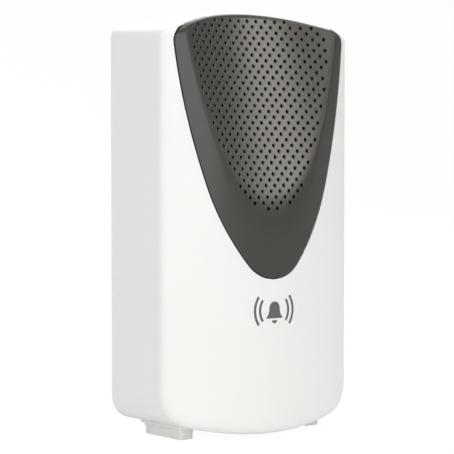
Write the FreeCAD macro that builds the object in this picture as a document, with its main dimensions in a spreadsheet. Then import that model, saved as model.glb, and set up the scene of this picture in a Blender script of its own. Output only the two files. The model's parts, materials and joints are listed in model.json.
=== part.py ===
"""Indoor chime unit of a wireless doorbell: a white moulded case on two feet, with a dark perforated
shield let into its bulging front, and the loudspeaker, board and battery case that it holds.

Millimetres. +Z is up, the front faces -Y, X runs to the viewer's right. The origin is under the middle of
the unit, on the surface that its feet stand on.
"""
import FreeCAD, Part
import Sketcher
import math
import os

Vector = FreeCAD.Vector
Rotation = FreeCAD.Rotation

doc = FreeCAD.newDocument("ChimeUnit")
sheet = doc.addObject("Spreadsheet::Sheet", "Size")

SIZES = {
    # Case, outside
    "body_width": 82.4,
    "side_depth": 29.4,
    "front_bulge": 12.0,
    "front_radius": 88.0,
    "top_height": 149.8,
    "top_fall": 1.45,
    "top_arch_radius": 122.0,
    "top_corner_radius": 4.5,
    "underside_gap": 1.1,
    "bottom_arch_radius": 140.0,
    "bottom_corner_radius": 8.5,
    "edge_round": 3.0,
    "wall": 2.2,
    "joint_gap": 0.3,
    # Feet
    "foot_spacing": 56.6,
    "foot_width": 5.8,
    "foot_length": 21.4,
    "foot_setback": 1.5,
    "foot_flare": 2.0,
    # Shield shaped grille, as seen from the front
    "shield_tip_height": 55.2,
    "shield_tip_radius": 12.5,
    "shield_low_height": 59.4,
    "shield_low_radius": 83.0,
    "shield_mid_height": 88.0,
    "shield_side_radius": 240.0,
    "shield_corner_height": 139.8,
    "shield_corner_radius": 4.0,
    "grille_thickness": 2.2,
    "grille_back_depth": 0.5,
    "groove": 0.35,
    "flange_reach": 2.0,
    "flange_thickness": 1.2,
    "flange_gap": 0.1,
    "rim_width": 1.6,
    # Scoop in the shield
    "scoop_height": 118.4,
    "scoop_depth": 2.77,
    "scoop_lean": 13.1,
    "scoop_opening": 30.0,
    "scoop_radius": 86.0,
    "scoop_length": 260.0,
    # Holes of the grille
    "hole_pitch_x": 1.938,
    "hole_pitch_z": 2.0,
    "hole_diameter": 1.35,
    "field_foot_height": 79.6,
    "field_middle_height": 122.4,
    "field_middle_reach": 27.2,
    "field_reach_limit": 30.4,
    "field_power": 0.4234,
    "field_top_margin": 2.2,
    # Screws that hold the rear cover
    "upper_boss_x": 35.4,
    "upper_boss_height": 135.0,
    "lower_boss_x": 33.6,
    "lower_boss_height": 15.5,
    "boss_radius": 3.2,
    "boss_length": 20.0,
    "pilot_radius": 1.15,
    "pilot_depth": 12.0,
    "screw_pad_depth": 4.4,
    "screw_pad_radius": 4.4,
    "screw_head_radius": 2.5,
    "screw_head_height": 1.6,
    "screw_well_depth": 2.2,
    "screw_well_radius": 2.8,
    "screw_hole_radius": 1.5,
    "screw_shaft_radius": 1.1,
    "cover_screw_length": 10.0,
    # Wall hangers in the rear cover
    "hanger_spacing": 50.0,
    "hanger_height": 122.0,
    "hanger_hole_radius": 4.0,
    "hanger_slot_radius": 2.0,
    "hanger_slot_rise": 7.0,
    # Battery case in the rear cover
    "cell_diameter": 14.5,
    "cell_length": 50.5,
    "cell_nub_radius": 2.75,
    "cell_nub_length": 1.0,
    "cell_gap": 0.5,
    "cell_play": 0.3,
    "cell_shift": 1.65,
    "middle_cell_height": 34.5,
    "case_wall": 1.5,
    "case_half_length": 28.5,
    "door_thickness": 2.0,
    "door_margin": 0.9,
    "door_nose": 1.0,
    "hinge_pin_radius": 0.6,
    "hinge_pin_length": 1.0,
    "hinge_gap": 0.07,
    "latch_width": 14.0,
    "latch_length": 9.0,
    "latch_slit": 1.0,
    "thumb_dip_radius": 9.0,
    "thumb_dip_depth": 1.0,
    "thumb_dip_inset": 5.0,
    # Battery contacts
    "contact_thickness": 0.5,
    "contact_width": 10.0,
    "contact_height": 11.0,
    "leaf_radius": 5.2,
    "leaf_width": 5.0,
    "leaf_play": 0.1,
    "leaf_thickness": 0.4,
    "dimple_radius": 1.8,
    # Circuit board
    "board_face_depth": -3.7,
    "board_thickness": 1.6,
    "board_half_width": 36.0,
    "board_foot": 24.0,
    "board_top": 84.0,
    "post_x": 31.0,
    "post_inset": 3.8,
    "post_radius": 2.6,
    "board_screw_length": 7.0,
    "controller_x": -8.0,
    "controller_height": 44.0,
    "amplifier_x": 12.0,
    "amplifier_height": 62.0,
    "chip_width": 4.0,
    "chip_height": 1.6,
    "chip_leg_pitch": 1.27,
    "chip_leg_width": 0.4,
    "chip_leg_reach": 1.0,
    "chip_leg_thickness": 0.3,
    "chip_standoff": 0.1,
    "capacitor_x": 22.0,
    "capacitor_foot": 34.0,
    "capacitor_radius": 3.15,
    "capacitor_height": 8.0,
    "capacitor_pitch": 8.5,
    "crystal_above_chip": 10.0,
    "crystal_length": 11.0,
    "crystal_width": 4.6,
    "crystal_height": 3.6,
    "radio_x": -19.0,
    "radio_centre_height": 73.0,
    "radio_width": 17.0,
    "radio_height": 14.0,
    "radio_thickness": 1.0,
    "shield_can_width": 12.0,
    "shield_can_height": 9.0,
    "shield_can_depth": 2.0,
    "antenna_radius": 0.4,
    "antenna_inset": 0.5,
    "antenna_standoff": 1.0,
    "antenna_rise": 34.0,
    "socket_spacing": 18.0,
    "socket_centre_height": 78.0,
    "socket_wall": 0.8,
    "socket_width": 6.0,
    "socket_height": 4.5,
    "socket_depth": 5.0,
    # Melody button and volume slider in the right side
    "control_depth": 7.3,
    "button_height": 74.0,
    "button_radius": 3.5,
    "button_proud": 0.8,
    "button_travel": 0.8,
    "button_flange_radius": 4.5,
    "button_flange_thickness": 1.1,
    "control_gap": 0.3,
    "switch_length": 5.5,
    "switch_height": 6.5,
    "switch_depth": 4.0,
    "plunger_radius": 1.3,
    "plunger_proud": 1.5,
    "switch_inset": 0.4,
    "plunger_play": 0.1,
    "plunger_seat": 0.4,
    "slider_height": 58.0,
    "slider_travel": 3.0,
    "slider_plate_thickness": 1.1,
    "slider_plate_height": 12.0,
    "slider_plate_width": 6.0,
    "slider_nub_height": 4.0,
    "slider_nub_width": 2.8,
    "slider_proud": 0.9,
    "slide_switch_height": 12.0,
    "lever_height": 2.0,
    "lever_width": 1.4,
    "lever_reach": 1.5,
    # Loudspeaker, measured back from the face of the scoop
    "speaker_radius": 25.5,
    "collar_length": 3.4,
    "collar_outer_radius": 26.2,
    "collar_inner_radius": 24.4,
    "gasket_thickness": 1.0,
    "gasket_margin": 0.6,
    "basket_flange": 1.2,
    "basket_thickness": 0.8,
    "basket_land": 1.0,
    "basket_leg_width": 6.0,
    "basket_mouth_radius": 23.0,
    "basket_base_radius": 13.5,
    "basket_depth": 8.6,
    "top_plate_radius": 15.0,
    "top_plate_thickness": 1.2,
    "gap_outer_radius": 10.5,
    "magnet_radius": 16.0,
    "magnet_bore_radius": 11.5,
    "magnet_thickness": 5.0,
    "yoke_thickness": 1.4,
    "pole_radius": 8.6,
    "former_radius": 9.1,
    "former_thickness": 0.3,
    "coil_thickness": 0.5,
    "coil_length": 3.4,
    "coil_overhang": 0.8,
    "cone_outer_radius": 20.6,
    "cone_depth": 5.2,
    "neck_rise": 3.2,
    "paper_thickness": 0.6,
    "surround_gap": 0.3,
    "surround_thickness": 0.5,
    "cap_rise": 2.6,
    "cap_slope": 4.0,
    "cap_play": 0.05,
    "cap_seat": 0.4,
    "speaker_screw_circle": 28.9,
    "speaker_boss_radius": 3.0,
    "washer_radius": 4.3,
    "washer_thickness": 0.6,
    "speaker_screw_length": 3.6,
    "terminal_width": 6.0,
    "terminal_height": 4.0,
    "terminal_thickness": 0.8,
}

for row, (alias, size) in enumerate(SIZES.items(), start=1):
    sheet.set(f"A{row}", alias)
    sheet.set(f"B{row}", str(size))
    sheet.setAlias(f"B{row}", alias)
doc.recompute()


parts = {}

# Sides of the small round forms that repeat
HEAD_SIDES = 8
BOSS_SIDES = 8
BORE_SIDES = 6
RING_SIDES = 12
COLLAR_SIDES = 24
SCOOP_SIDES = 96


def value(expression):
    """The number that an expression in the sheet's sizes comes to."""
    return float(sheet.evalExpression(str(expression).replace("Size.", "")))


def keep(thing, node):
    """Give a finished sub-part the label that names its file."""
    thing.Label = node
    parts[node] = thing
    return thing


def bind(thing, **bound):
    for name, expression in bound.items():
        thing.setExpression(name.replace("__", "."), str(expression))
    return thing


def move(thing, x="0", y="0", z="0"):
    return bind(thing, Placement__Base__x=x, Placement__Base__y=y, Placement__Base__z=z)


# Planes that several pieces share
HALF_WIDTH = "(Size.body_width / 2)"
BACK = "((Size.side_depth + Size.front_bulge) / 2)"
SIDE_FRONT = f"({BACK} - Size.side_depth)"
FRONT = f"(-{BACK})"
PLATE_FRONT = f"({BACK} - Size.wall)"
SIDE_INNER = f"({HALF_WIDTH} - Size.wall)"
BOARD_BACK = "(Size.board_face_depth)"
BOARD_FRONT = "(Size.board_face_depth - Size.board_thickness)"
CONTROL_Y = f"({SIDE_FRONT} + Size.control_depth)"


def box(name, x, y, z):
    """A block between two expressions along each axis."""
    block = doc.addObject("Part::Box", name)
    bind(block, Length=f"({x[1]}) - ({x[0]})", Width=f"({y[1]}) - ({y[0]})", Height=f"({z[1]}) - ({z[0]})")
    return move(block, x[0], y[0], z[0])


AXIS_TURN = {"x": (Vector(0, 1, 0), 90), "y": (Vector(1, 0, 0), -90), "z": (Vector(0, 0, 1), 0)}


def round_bar(name, radius, length, sides):
    """A cylinder, or a prism with that many sides where a small hidden piece repeats."""
    if sides:
        bar = doc.addObject("Part::Prism", name)
        bar.Polygon = sides
        return bind(bar, Circumradius=radius, Height=length)
    return bind(doc.addObject("Part::Cylinder", name), Radius=radius, Height=length)


def rod(name, radius, length, x="0", y="0", z="0", axis="z", sides=0):
    """A bar that starts at a point and runs along +X, +Y or +Z."""
    bar = round_bar(name, radius, length, sides)
    bar.Placement = FreeCAD.Placement(Vector(), Rotation(*AXIS_TURN[axis]))
    return move(bar, x, y, z)


def cut(name, base, *tools):
    if len(tools) > 1:
        tools = [fuse(name + "_tools", *tools)]
    result = doc.addObject("Part::Cut", name)
    result.Base = base
    result.Tool = tools[0]
    return result


def fuse(name, *shapes):
    result = doc.addObject("Part::MultiFuse", name)
    result.Shapes = list(shapes)
    result.Refine = True
    return result


def common(name, *shapes):
    result = doc.addObject("Part::MultiCommon", name)
    result.Shapes = list(shapes)
    return result


def group(name, *shapes):
    result = doc.addObject("Part::Compound", name)
    result.Links = list(shapes)
    return result


# Sketches

def new_sketch(name, plane, offset="0", body=None):
    """A sketch in the XZ plane (its Y is Z) at a depth, or in the XY plane at a height."""
    if body:
        sketch = body.newObject("Sketcher::SketchObject", name)
        role = {"xz": "XZ_Plane", "xy": "XY_Plane", "yz": "YZ_Plane"}[plane]
        origin = [f for f in body.Origin.OriginFeatures if f.Role == role][0]
        sketch.AttachmentSupport = [(origin, "")]
        sketch.MapMode = "FlatFace"
        return sketch
    sketch = doc.addObject("Sketcher::SketchObject", name)
    if plane == "xz":
        sketch.Placement = FreeCAD.Placement(Vector(), Rotation(Vector(1, 0, 0), 90))
        bind(sketch, Placement__Base__y=offset)
    elif plane == "yz":
        sketch.Placement = FreeCAD.Placement(Vector(), Rotation(Vector(1, 1, 1), 120))
        bind(sketch, Placement__Base__x=offset)
    else:
        bind(sketch, Placement__Base__z=offset)
    return sketch


def rule(sketch, kind, *where, size=None):
    """Add a constraint, bound to an expression where it has a size."""
    if size is None:
        return sketch.addConstraint(Sketcher.Constraint(kind, *where))
    index = sketch.addConstraint(Sketcher.Constraint(kind, *where, value(size)))
    sketch.setExpression(f"Constraints[{index}]", str(size))
    return index


def arc(centre, start, end):
    """Counter-clockwise arc about a centre from one point to another."""
    radius = (start - centre).Length
    first = math.atan2(start.y - centre.y, start.x - centre.x)
    last = math.atan2(end.y - centre.y, end.x - centre.x)
    while last <= first:
        last += 2 * math.pi
    return Part.ArcOfCircle(Part.Circle(centre, Vector(0, 0, 1), radius), first, last)


def draw(sketch, corners):
    """Closed outline through corners given as (x, y) expressions. A third entry is the radius of the arc
    that leads on to the next corner, positive where its centre lies to the left of the way there."""
    points = [Vector(value(c[0]), value(c[1]), 0) for c in corners]
    ends = []
    for number, corner in enumerate(corners):
        here, there = points[number], points[(number + 1) % len(points)]
        if len(corner) == 2:
            ends.append((sketch.addGeometry(Part.LineSegment(here, there)), 1, 2))
            continue
        radius = value(corner[2])
        half = (there - here) * 0.5
        left = Vector(-half.y, half.x, 0).normalize()
        reach = math.sqrt(max(radius * radius - half.Length**2, 0.0))
        if radius > 0:
            centre = here + half + left * reach
            ends.append((sketch.addGeometry(arc(centre, here, there)), 1, 2))
        else:
            centre = here + half - left * reach
            ends.append((sketch.addGeometry(arc(centre, there, here)), 2, 1))
    for number, (edge, start, end) in enumerate(ends):
        following, first, _ = ends[(number + 1) % len(ends)]
        rule(sketch, "Coincident", edge, end, following, first)
        rule(sketch, "DistanceX", -1, 1, edge, start, size=corners[number][0])
        rule(sketch, "DistanceY", -1, 1, edge, start, size=corners[number][1])
        if len(corners[number]) == 3:
            rule(sketch, "Radius", edge, size=f"abs({corners[number][2]})")
    return sketch


def slab(name, sketch, length, direction, reverse="0"):
    """Extrude a sketch into a solid."""
    solid = doc.addObject("Part::Extrusion", name)
    solid.Base = sketch
    solid.DirMode = "Custom"
    solid.Dir = direction
    solid.Solid = True
    return bind(solid, LengthFwd=length, LengthRev=reverse)


# The case's outline and envelope

def outline(name, depth, inset, fall):
    """Front outline of the case at a depth: straight sides, arched top and bottom, four round corners."""
    half = value(f"{HALF_WIDTH} - ({inset})")
    top_radius = value(f"Size.top_arch_radius - ({inset})")
    low_radius = value(f"Size.bottom_arch_radius - ({inset})")
    top_corner = f"max(Size.top_corner_radius - ({inset}); 0.8)"
    low_corner = f"max(Size.bottom_corner_radius - ({inset}); 0.8)"
    top_centre = f"Size.top_height - ({fall}) - Size.top_arch_radius"
    low_centre = "Size.underside_gap + Size.bottom_arch_radius"
    high, low = Vector(0, value(top_centre), 0), Vector(0, value(low_centre), 0)
    rt, rb = value(top_corner), value(low_corner)
    corner_high = high + Vector(half - rt, math.sqrt((top_radius - rt)**2 - (half - rt)**2), 0)
    corner_low = low + Vector(half - rb, -math.sqrt((low_radius - rb)**2 - (half - rb)**2), 0)
    meet_high = high + (corner_high - high) * (top_radius / (top_radius - rt))
    meet_low = low + (corner_low - low) * (low_radius / (low_radius - rb))
    side_high, side_low = corner_high + Vector(rt, 0, 0), corner_low + Vector(rb, 0, 0)

    def left(point):
        return Vector(-point.x, point.y, 0)

    sketch = new_sketch(name, "xz", depth)
    sketch.addGeometry([
        Part.LineSegment(side_low, side_high),
        arc(corner_high, side_high, meet_high),
        arc(high, meet_high, left(meet_high)),
        arc(left(corner_high), left(meet_high), left(side_high)),
        Part.LineSegment(left(side_high), left(side_low)),
        arc(left(corner_low), left(side_low), left(meet_low)),
        arc(low, left(meet_low), meet_low),
        arc(corner_low, meet_low, side_low),
    ])
    for edge in range(8):
        rule(sketch, "Tangent", edge, 2, (edge + 1) % 8, 1)
    for edge, place in ((0, f"{HALF_WIDTH} - ({inset})"), (4, f"({inset}) - {HALF_WIDTH}")):
        rule(sketch, "Vertical", edge)
        rule(sketch, "DistanceX", -1, 1, edge, 1, size=place)
    for edge in (1, 3):
        rule(sketch, "Radius", edge, size=top_corner)
    for edge in (5, 7):
        rule(sketch, "Radius", edge, size=low_corner)
    rule(sketch, "Radius", 2, size=f"Size.top_arch_radius - ({inset})")
    rule(sketch, "Radius", 6, size=f"Size.bottom_arch_radius - ({inset})")
    for edge, place in ((2, top_centre), (6, low_centre)):
        rule(sketch, "PointOnObject", edge, 3, -2)
        rule(sketch, "DistanceY", -1, 1, edge, 3, size=place)
    return sketch


BEYOND = "6"


def plan(name, inset, back, spread):
    """Solid whose top view is the bulging front: an arc between two straight sides, cut off at the back."""
    radius = f"(Size.front_radius - ({inset}))"
    half = f"({HALF_WIDTH} + {spread})"
    edge_y = f"({FRONT} + ({inset}) + {radius} - sqrt({radius} * {radius} - {half} * {half}))"
    sketch = new_sketch(name + "_plan", "xy", f"-{BEYOND}")
    draw(sketch, [(half, edge_y), (half, back), (f"-{half}", back), (f"-{half}", edge_y, radius)])
    return slab(name, sketch, f"Size.top_height + 2 * {BEYOND}", Vector(0, 0, 1))


def envelope(name, inset, back, front_inset=None):
    """The case's own form, moved inwards by the inset on every side but the back."""
    front_inset = inset if front_inset is None else front_inset
    depth = f"(Size.side_depth + Size.front_bulge)"
    fall = f"Size.top_fall * (({BACK}) - ({back})) / {depth}"
    near = outline(name + "_back", back, inset, fall)
    far = outline(name + "_front", FRONT, inset, "Size.top_fall")
    loft = doc.addObject("Part::Loft", name + "_loft")
    loft.Sections = [near, far]
    loft.Solid = True
    loft.Ruled = True
    return common(name, loft, plan(name + "_bulge", front_inset, f"{back} + 1", "2"))


def front_edges(shape, radius):
    """The edges around the bulging front face."""
    names = []
    for face in shape.Faces:
        if isinstance(face.Surface, Part.Cylinder) and abs(face.Surface.Radius - radius) < 0.01:
            for edge in face.Edges:
                names += [n for n, other in enumerate(shape.Edges, start=1) if other.isSame(edge)]
    return sorted(set(names))


outer_sharp = envelope("outer_sharp", "0", BACK)
doc.recompute()
outer = doc.addObject("Part::Fillet", "outer")
outer.Base = outer_sharp
rounding = value("Size.edge_round")
outer.Edges = [(n, rounding, rounding) for n in front_edges(outer_sharp.Shape, value("Size.front_radius"))]
hollow = envelope("hollow", "Size.wall", f"{BACK} + 1")
mid_wall = envelope("mid_wall", "Size.wall / 2", BACK)


# The shield and the scoop

def shield(name, grow, depth="40"):
    """Shield outline, grown by an amount all round, as a bar that runs through the case's front."""
    tip_y = "(Size.shield_tip_height + Size.shield_tip_radius)"
    tip_radius = f"(Size.shield_tip_radius + {grow})"
    low_radius = f"(Size.shield_low_radius + {grow})"
    side_radius = f"(Size.shield_side_radius + {grow})"
    corner_radius = f"(Size.shield_corner_radius + {grow})"
    turn = f"(({tip_y} - Size.shield_low_height) / Size.shield_tip_radius)"
    low_y = f"({tip_y} - {turn} * {tip_radius})"
    low_centre_y = f"(Size.shield_low_height + {turn} * Size.shield_low_radius)"
    mid_y = (f"({low_centre_y} + (Size.shield_mid_height - {low_centre_y})"
             f" * {low_radius} / Size.shield_low_radius)")
    tip, rt, rl = Vector(0, value(tip_y), 0), value(tip_radius), value(low_radius)
    rs, rc = value(side_radius), value(corner_radius)
    joint_low = Vector(math.sqrt(rt**2 - (value(low_y) - tip.y)**2), value(low_y), 0)
    centre_low = joint_low + (tip - joint_low) * (rl / rt)
    joint_mid = centre_low + Vector(math.sqrt(rl**2 - (value(mid_y) - centre_low.y)**2),
                                    value(mid_y) - centre_low.y, 0)
    centre_side = joint_mid + (centre_low - joint_mid) * (rs / rl)
    corner_y = value("Size.shield_corner_height")
    corner = centre_side + Vector(math.sqrt((rs - rc)**2 - (corner_y - centre_side.y)**2),
                                  corner_y - centre_side.y, 0)
    joint_side = centre_side + (corner - centre_side) * (rs / (rs - rc))
    corner_top = corner + Vector(0, rc, 0)
    summit = "(Size.top_height + 4)"
    top = Vector(corner.x, value(summit), 0)

    def left(point):
        return Vector(-point.x, point.y, 0)

    sketch = new_sketch(name + "_outline", "xz", f"{BACK} - Size.side_depth + 20")
    sketch.addGeometry([
        arc(tip, left(joint_low), joint_low),
        arc(centre_low, joint_low, joint_mid),
        arc(centre_side, joint_mid, joint_side),
        arc(corner, joint_side, corner_top),
        Part.LineSegment(corner_top, top),
        Part.LineSegment(top, left(top)),
        Part.LineSegment(left(top), left(corner_top)),
        arc(left(corner), left(corner_top), left(joint_side)),
        arc(left(centre_side), left(joint_side), left(joint_mid)),
        arc(left(centre_low), left(joint_mid), left(joint_low)),
    ])
    for edge in range(10):
        smooth = edge in (0, 1, 2, 7, 8, 9)
        rule(sketch, "Tangent" if smooth else "Coincident", edge, 2, (edge + 1) % 10, 1)
    rule(sketch, "PointOnObject", 0, 3, -2)
    rule(sketch, "DistanceY", -1, 1, 0, 3, size=tip_y)
    for edge, radius in ((0, tip_radius), (1, low_radius), (9, low_radius), (2, side_radius),
                         (8, side_radius), (3, corner_radius), (7, corner_radius)):
        rule(sketch, "Radius", edge, size=radius)
    for edge, end, height in ((1, 1, low_y), (9, 2, low_y), (1, 2, mid_y), (9, 1, mid_y),
                              (3, 3, "Size.shield_corner_height"), (7, 3, "Size.shield_corner_height"),
                              (5, 1, summit)):
        rule(sketch, "DistanceY", -1, 1, edge, end, size=height)
    rule(sketch, "Horizontal", 5)
    rule(sketch, "Vertical", 4)
    rule(sketch, "Vertical", 6)
    rule(sketch, "Vertical", 3, 3, 3, 2)
    rule(sketch, "Vertical", 7, 3, 7, 1)
    return slab(name, sketch, depth, Vector(0, -1, 0))


def facetted_cone():
    """Cone of many flat sides, so that the holes through it have straight edges."""
    height = value("Size.scoop_length")
    radius = height * math.tan(math.radians(value("Size.scoop_opening")))
    radius /= math.sqrt(math.cos(math.pi / SCOOP_SIDES))
    turns = [2 * math.pi * (n + 0.5) / SCOOP_SIDES for n in range(SCOOP_SIDES + 1)]
    rim = [Vector(radius * math.sin(turn), radius * math.cos(turn), 0) for turn in turns]
    apex = Vector(0, 0, height)
    faces = [Part.Face(Part.makePolygon(rim[::-1]))]
    faces += [Part.Face(Part.makePolygon([a, apex, b, a])) for a, b in zip(rim, rim[1:])]
    return Part.Solid(Part.Shell(faces))


def scoop(name, behind):
    """The hollow in front of the perforated dish, a leaning cone, carried back by an amount."""
    lean, opening = "Size.scoop_lean", "Size.scoop_opening"
    reach = f"(Size.scoop_radius * cos({lean}) / tan({opening}))"
    cone = doc.addObject("Part::Feature", name)
    cone.Shape = facetted_cone()
    cone.Placement = FreeCAD.Placement(Vector(), Rotation(Vector(1, 0, 0), -90))
    bind(cone, Placement__Rotation__Angle=f"-({lean} + {opening})")
    return move(cone, "0",
                f"{SIDE_FRONT} - Size.scoop_depth + ({behind}) / cos({lean}) + {reach} * sin({lean})"
                f" - Size.scoop_length * sin({lean} + {opening})",
                f"Size.scoop_height + {reach} * cos({lean}) - Size.scoop_length * cos({lean} + {opening})")


scoop_face = scoop("scoop_face", "0")
scoop_middle = scoop("scoop_middle", "(Size.grille_thickness / 2)")
scoop_back = scoop("scoop_back", "Size.grille_thickness")
scoop_notch = scoop("scoop_notch", "(Size.grille_thickness + Size.joint_gap)")


# Speaker frame of reference: its axis leans with the dish, and distances run back from the dish's face
SEAT_Y = f"({SIDE_FRONT} - Size.scoop_depth)"


def tilt(thing, across, up, back):
    """Stand a piece in the speaker's frame, its own Z pointing back along the speaker's axis."""
    thing.Placement = FreeCAD.Placement(Vector(), Rotation(Vector(1, 0, 0), -90))
    bind(thing, Placement__Rotation__Angle="-(90 + Size.scoop_lean)")
    lean = "Size.scoop_lean"
    return move(thing, across, f"{SEAT_Y} + ({back}) * cos({lean}) + ({up}) * sin({lean})",
                f"Size.scoop_height - ({back}) * sin({lean}) + ({up}) * cos({lean})")


def leaning_rod(name, radius, length, across, up, back, sides=0):
    return tilt(round_bar(name, radius, length, sides), across, up, back)


SCREW_ANGLES = (30, 150, 270)
SPEAKER_SCREWS = [
    (f"Size.speaker_screw_circle * cos({angle})", f"Size.speaker_screw_circle * sin({angle})")
    for angle in SCREW_ANGLES
]
FLANGE_FACE = "(Size.collar_length + Size.gasket_thickness)"
FLANGE_BACK = f"({FLANGE_FACE} + Size.basket_flange)"

# Grille: the shield of the case's front, hollowed from behind and scooped from before
rear_of_grille = box("rear_of_grille", (f"-({HALF_WIDTH} + 3)", f"{HALF_WIDTH} + 3"),
                     (f"{SIDE_FRONT} - Size.grille_back_depth", f"{BACK} + 3"), ("-2", "Size.top_height + 5"))
grille_hollow = fuse("grille_hollow", rear_of_grille, hollow)
grille_space = cut("grille_space", grille_hollow, scoop_back)
flange_outer = envelope("flange_outer", "(Size.wall + Size.flange_gap)", BACK)
flange_inner = envelope("flange_inner", "(Size.wall + Size.flange_gap + Size.flange_thickness)", f"{BACK} + 1")
shield_bar = shield("shield_bar", "0")
shield_opening = shield("shield_opening", "Size.groove")
shield_core = shield("shield_core", "-Size.rim_width", "36")
shield_flange = shield("shield_flange", "Size.flange_reach", "36")
front_slice = box("front_slice", (f"-({HALF_WIDTH} + 3)", f"{HALF_WIDTH} + 3"),
                  (f"{FRONT} - 3", f"{SIDE_FRONT} - Size.grille_back_depth"), ("-2", "Size.top_height + 5"))
grille_skin = cut("grille_skin", common("grille_blank", shield_bar, outer), grille_space)
flange_ring = cut("flange_ring", common("flange_blank", shield_flange, flange_outer, front_slice),
                  shield_core, flange_inner)
rim_ring = cut("rim_ring", common("rim_blank", shield_bar, mid_wall, front_slice), shield_core, flange_inner)
collar = cut(
    "collar_tube",
    leaning_rod("collar_outside", "Size.collar_outer_radius", "30", "0", "0", "Size.collar_length - 30",
                COLLAR_SIDES),
    leaning_rod("collar_inside", "Size.collar_inner_radius", "34", "0", "0", "Size.collar_length - 32",
                COLLAR_SIDES),
)
speaker_bosses = [
    leaning_rod(f"speaker_boss_{n}", "Size.speaker_boss_radius", "30", across, up, f"{FLANGE_BACK} - 30",
                BOSS_SIDES)
    for n, (across, up) in enumerate(SPEAKER_SCREWS)
]
speaker_pilots = [
    leaning_rod(f"speaker_pilot_{n}", "Size.pilot_radius", "Size.speaker_screw_length",
                across, up, f"{FLANGE_BACK} + Size.washer_thickness - Size.speaker_screw_length - 0.2",
                BORE_SIDES)
    for n, (across, up) in enumerate(SPEAKER_SCREWS)
]
collar_well = leaning_rod("collar_well", "Size.collar_inner_radius", "40", "0", "0", "-34")
boss_blank = cut("boss_blank", fuse("boss_rods", *speaker_bosses), collar_well)
flange_seat = leaning_rod("flange_seat", "(Size.speaker_radius + Size.joint_gap)", "8",
                          "0", "0", "Size.collar_length")
boss_forms = cut("boss_forms", boss_blank, flange_seat)
mountings = cut("mountings", fuse("mounting_blank", collar, boss_forms), scoop_middle)
mountings_inside = common("mountings_inside", mountings, mid_wall)
grille_solid = cut("grille_solid", fuse("grille_whole", grille_skin, flange_ring, rim_ring, mountings_inside),
                   scoop_face, *speaker_pilots)


def hole_places():
    """Centres of the grille's holes: a staggered grid, kept inside the dish and below its top edge."""
    places = []
    pitch_x, pitch_z = value("Size.hole_pitch_x"), value("Size.hole_pitch_z")
    foot, middle = value("Size.field_foot_height"), value("Size.field_middle_height")
    start, arch = value("Size.scoop_height"), value("Size.top_arch_radius")
    summit = value("Size.top_height - Size.field_top_margin")
    rows = int(value("Size.top_height") / pitch_z)
    for row in range(-rows, rows + 1):
        height = start + row * pitch_z
        if height <= foot:
            continue
        rise = (height - foot) / (middle - foot)
        reach = value("Size.field_middle_reach") * rise ** value("Size.field_power")
        reach = min(reach, value("Size.field_reach_limit"))
        columns = int(reach / pitch_x) + 1
        for column in range(-columns, columns + 1):
            across = column * pitch_x
            under_arch = height < summit - arch + math.sqrt(arch**2 - across**2)
            if (row + column) % 2 == 0 and abs(across) <= reach and under_arch:
                places.append((across, height))
    return places


def holes():
    """Three-sided bars, each with the section area of a round hole."""
    radius = value("Size.hole_diameter") / 2 * math.sqrt(4 * math.pi / (3 * math.sqrt(3)))
    corners = [Vector(radius * math.sin(math.radians(120 * n)), 0, radius * math.cos(math.radians(120 * n)))
               for n in range(4)]
    front, depth = value(f"{FRONT}"), value("Size.front_bulge + 14")
    bars = []
    for across, height in hole_places():
        face = Part.Face(Part.makePolygon([c + Vector(across, front, height) for c in corners]))
        bars.append(face.extrude(Vector(0, depth, 0)))
    return Part.makeCompound(bars)


grille_holes = doc.addObject("Part::Feature", "grille_holes")
grille_holes.Shape = holes()
grille_insert = keep(cut("grille_insert", grille_solid, grille_holes), "grille_insert")

# Front cover: one shell with its feet, screw bosses and board posts moulded in
shell = cut("shell", outer, hollow)
notch_rear = box("notch_rear", (f"-({HALF_WIDTH} + 3)", f"{HALF_WIDTH} + 3"),
                 (f"{SIDE_FRONT} - Size.grille_back_depth + Size.joint_gap", f"{BACK} + 3"),
                 ("-2", "Size.top_height + 5"))
opening = cut("opening", shield_opening, cut("notch_shelf", notch_rear, scoop_notch))

BOSSES = [("upper", "Size.upper_boss_x", "Size.upper_boss_height"),
          ("lower", "Size.lower_boss_x", "Size.lower_boss_height")]
BOSS_PLACES = [(f"{side}_{level}", f"({sign}{x})", z)
               for level, x, z in BOSSES for side, sign in (("right", ""), ("left", "-"))]
BOSS_END = f"({BACK} - Size.screw_pad_depth)"
posts = []
pilots = []
for place, x, z in BOSS_PLACES:
    start = f"{BOSS_END} - Size.boss_length"
    posts.append(rod(f"boss_{place}", "Size.boss_radius", "Size.boss_length", x, start, z, "y", BOSS_SIDES))
    wall_x = (x, f"{HALF_WIDTH} + 1") if "right" in place else (f"-({HALF_WIDTH} + 1)", x)
    posts.append(box(f"web_{place}", wall_x, (start, BOSS_END), (f"{z} - Size.boss_radius / 2",
                                                                  f"{z} + Size.boss_radius / 2")))
    pilots.append(rod(f"pilot_{place}", "Size.pilot_radius", "Size.pilot_depth + 1", x,
                      f"{BOSS_END} - Size.pilot_depth", z, "y", BORE_SIDES))

POST_PLACES = [(f"{side}_{level}", f"({sign}Size.post_x)", z)
               for level, z in (("upper", "(Size.board_top - Size.post_inset)"),
                                ("lower", "(Size.board_foot + Size.post_inset)"))
               for side, sign in (("right", ""), ("left", "-"))]
for place, x, z in POST_PLACES:
    posts.append(rod(f"post_{place}", "Size.post_radius", f"{BOARD_FRONT} - {FRONT}", x, FRONT, z, "y",
                     BOSS_SIDES))
    pilots.append(rod(f"post_pilot_{place}", "Size.pilot_radius", "Size.board_screw_length", x,
                      f"{BOARD_FRONT} - Size.board_screw_length + 1.2", z, "y", BORE_SIDES))
posts_inside = common("posts_inside", fuse("posts", *posts), mid_wall)

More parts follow.
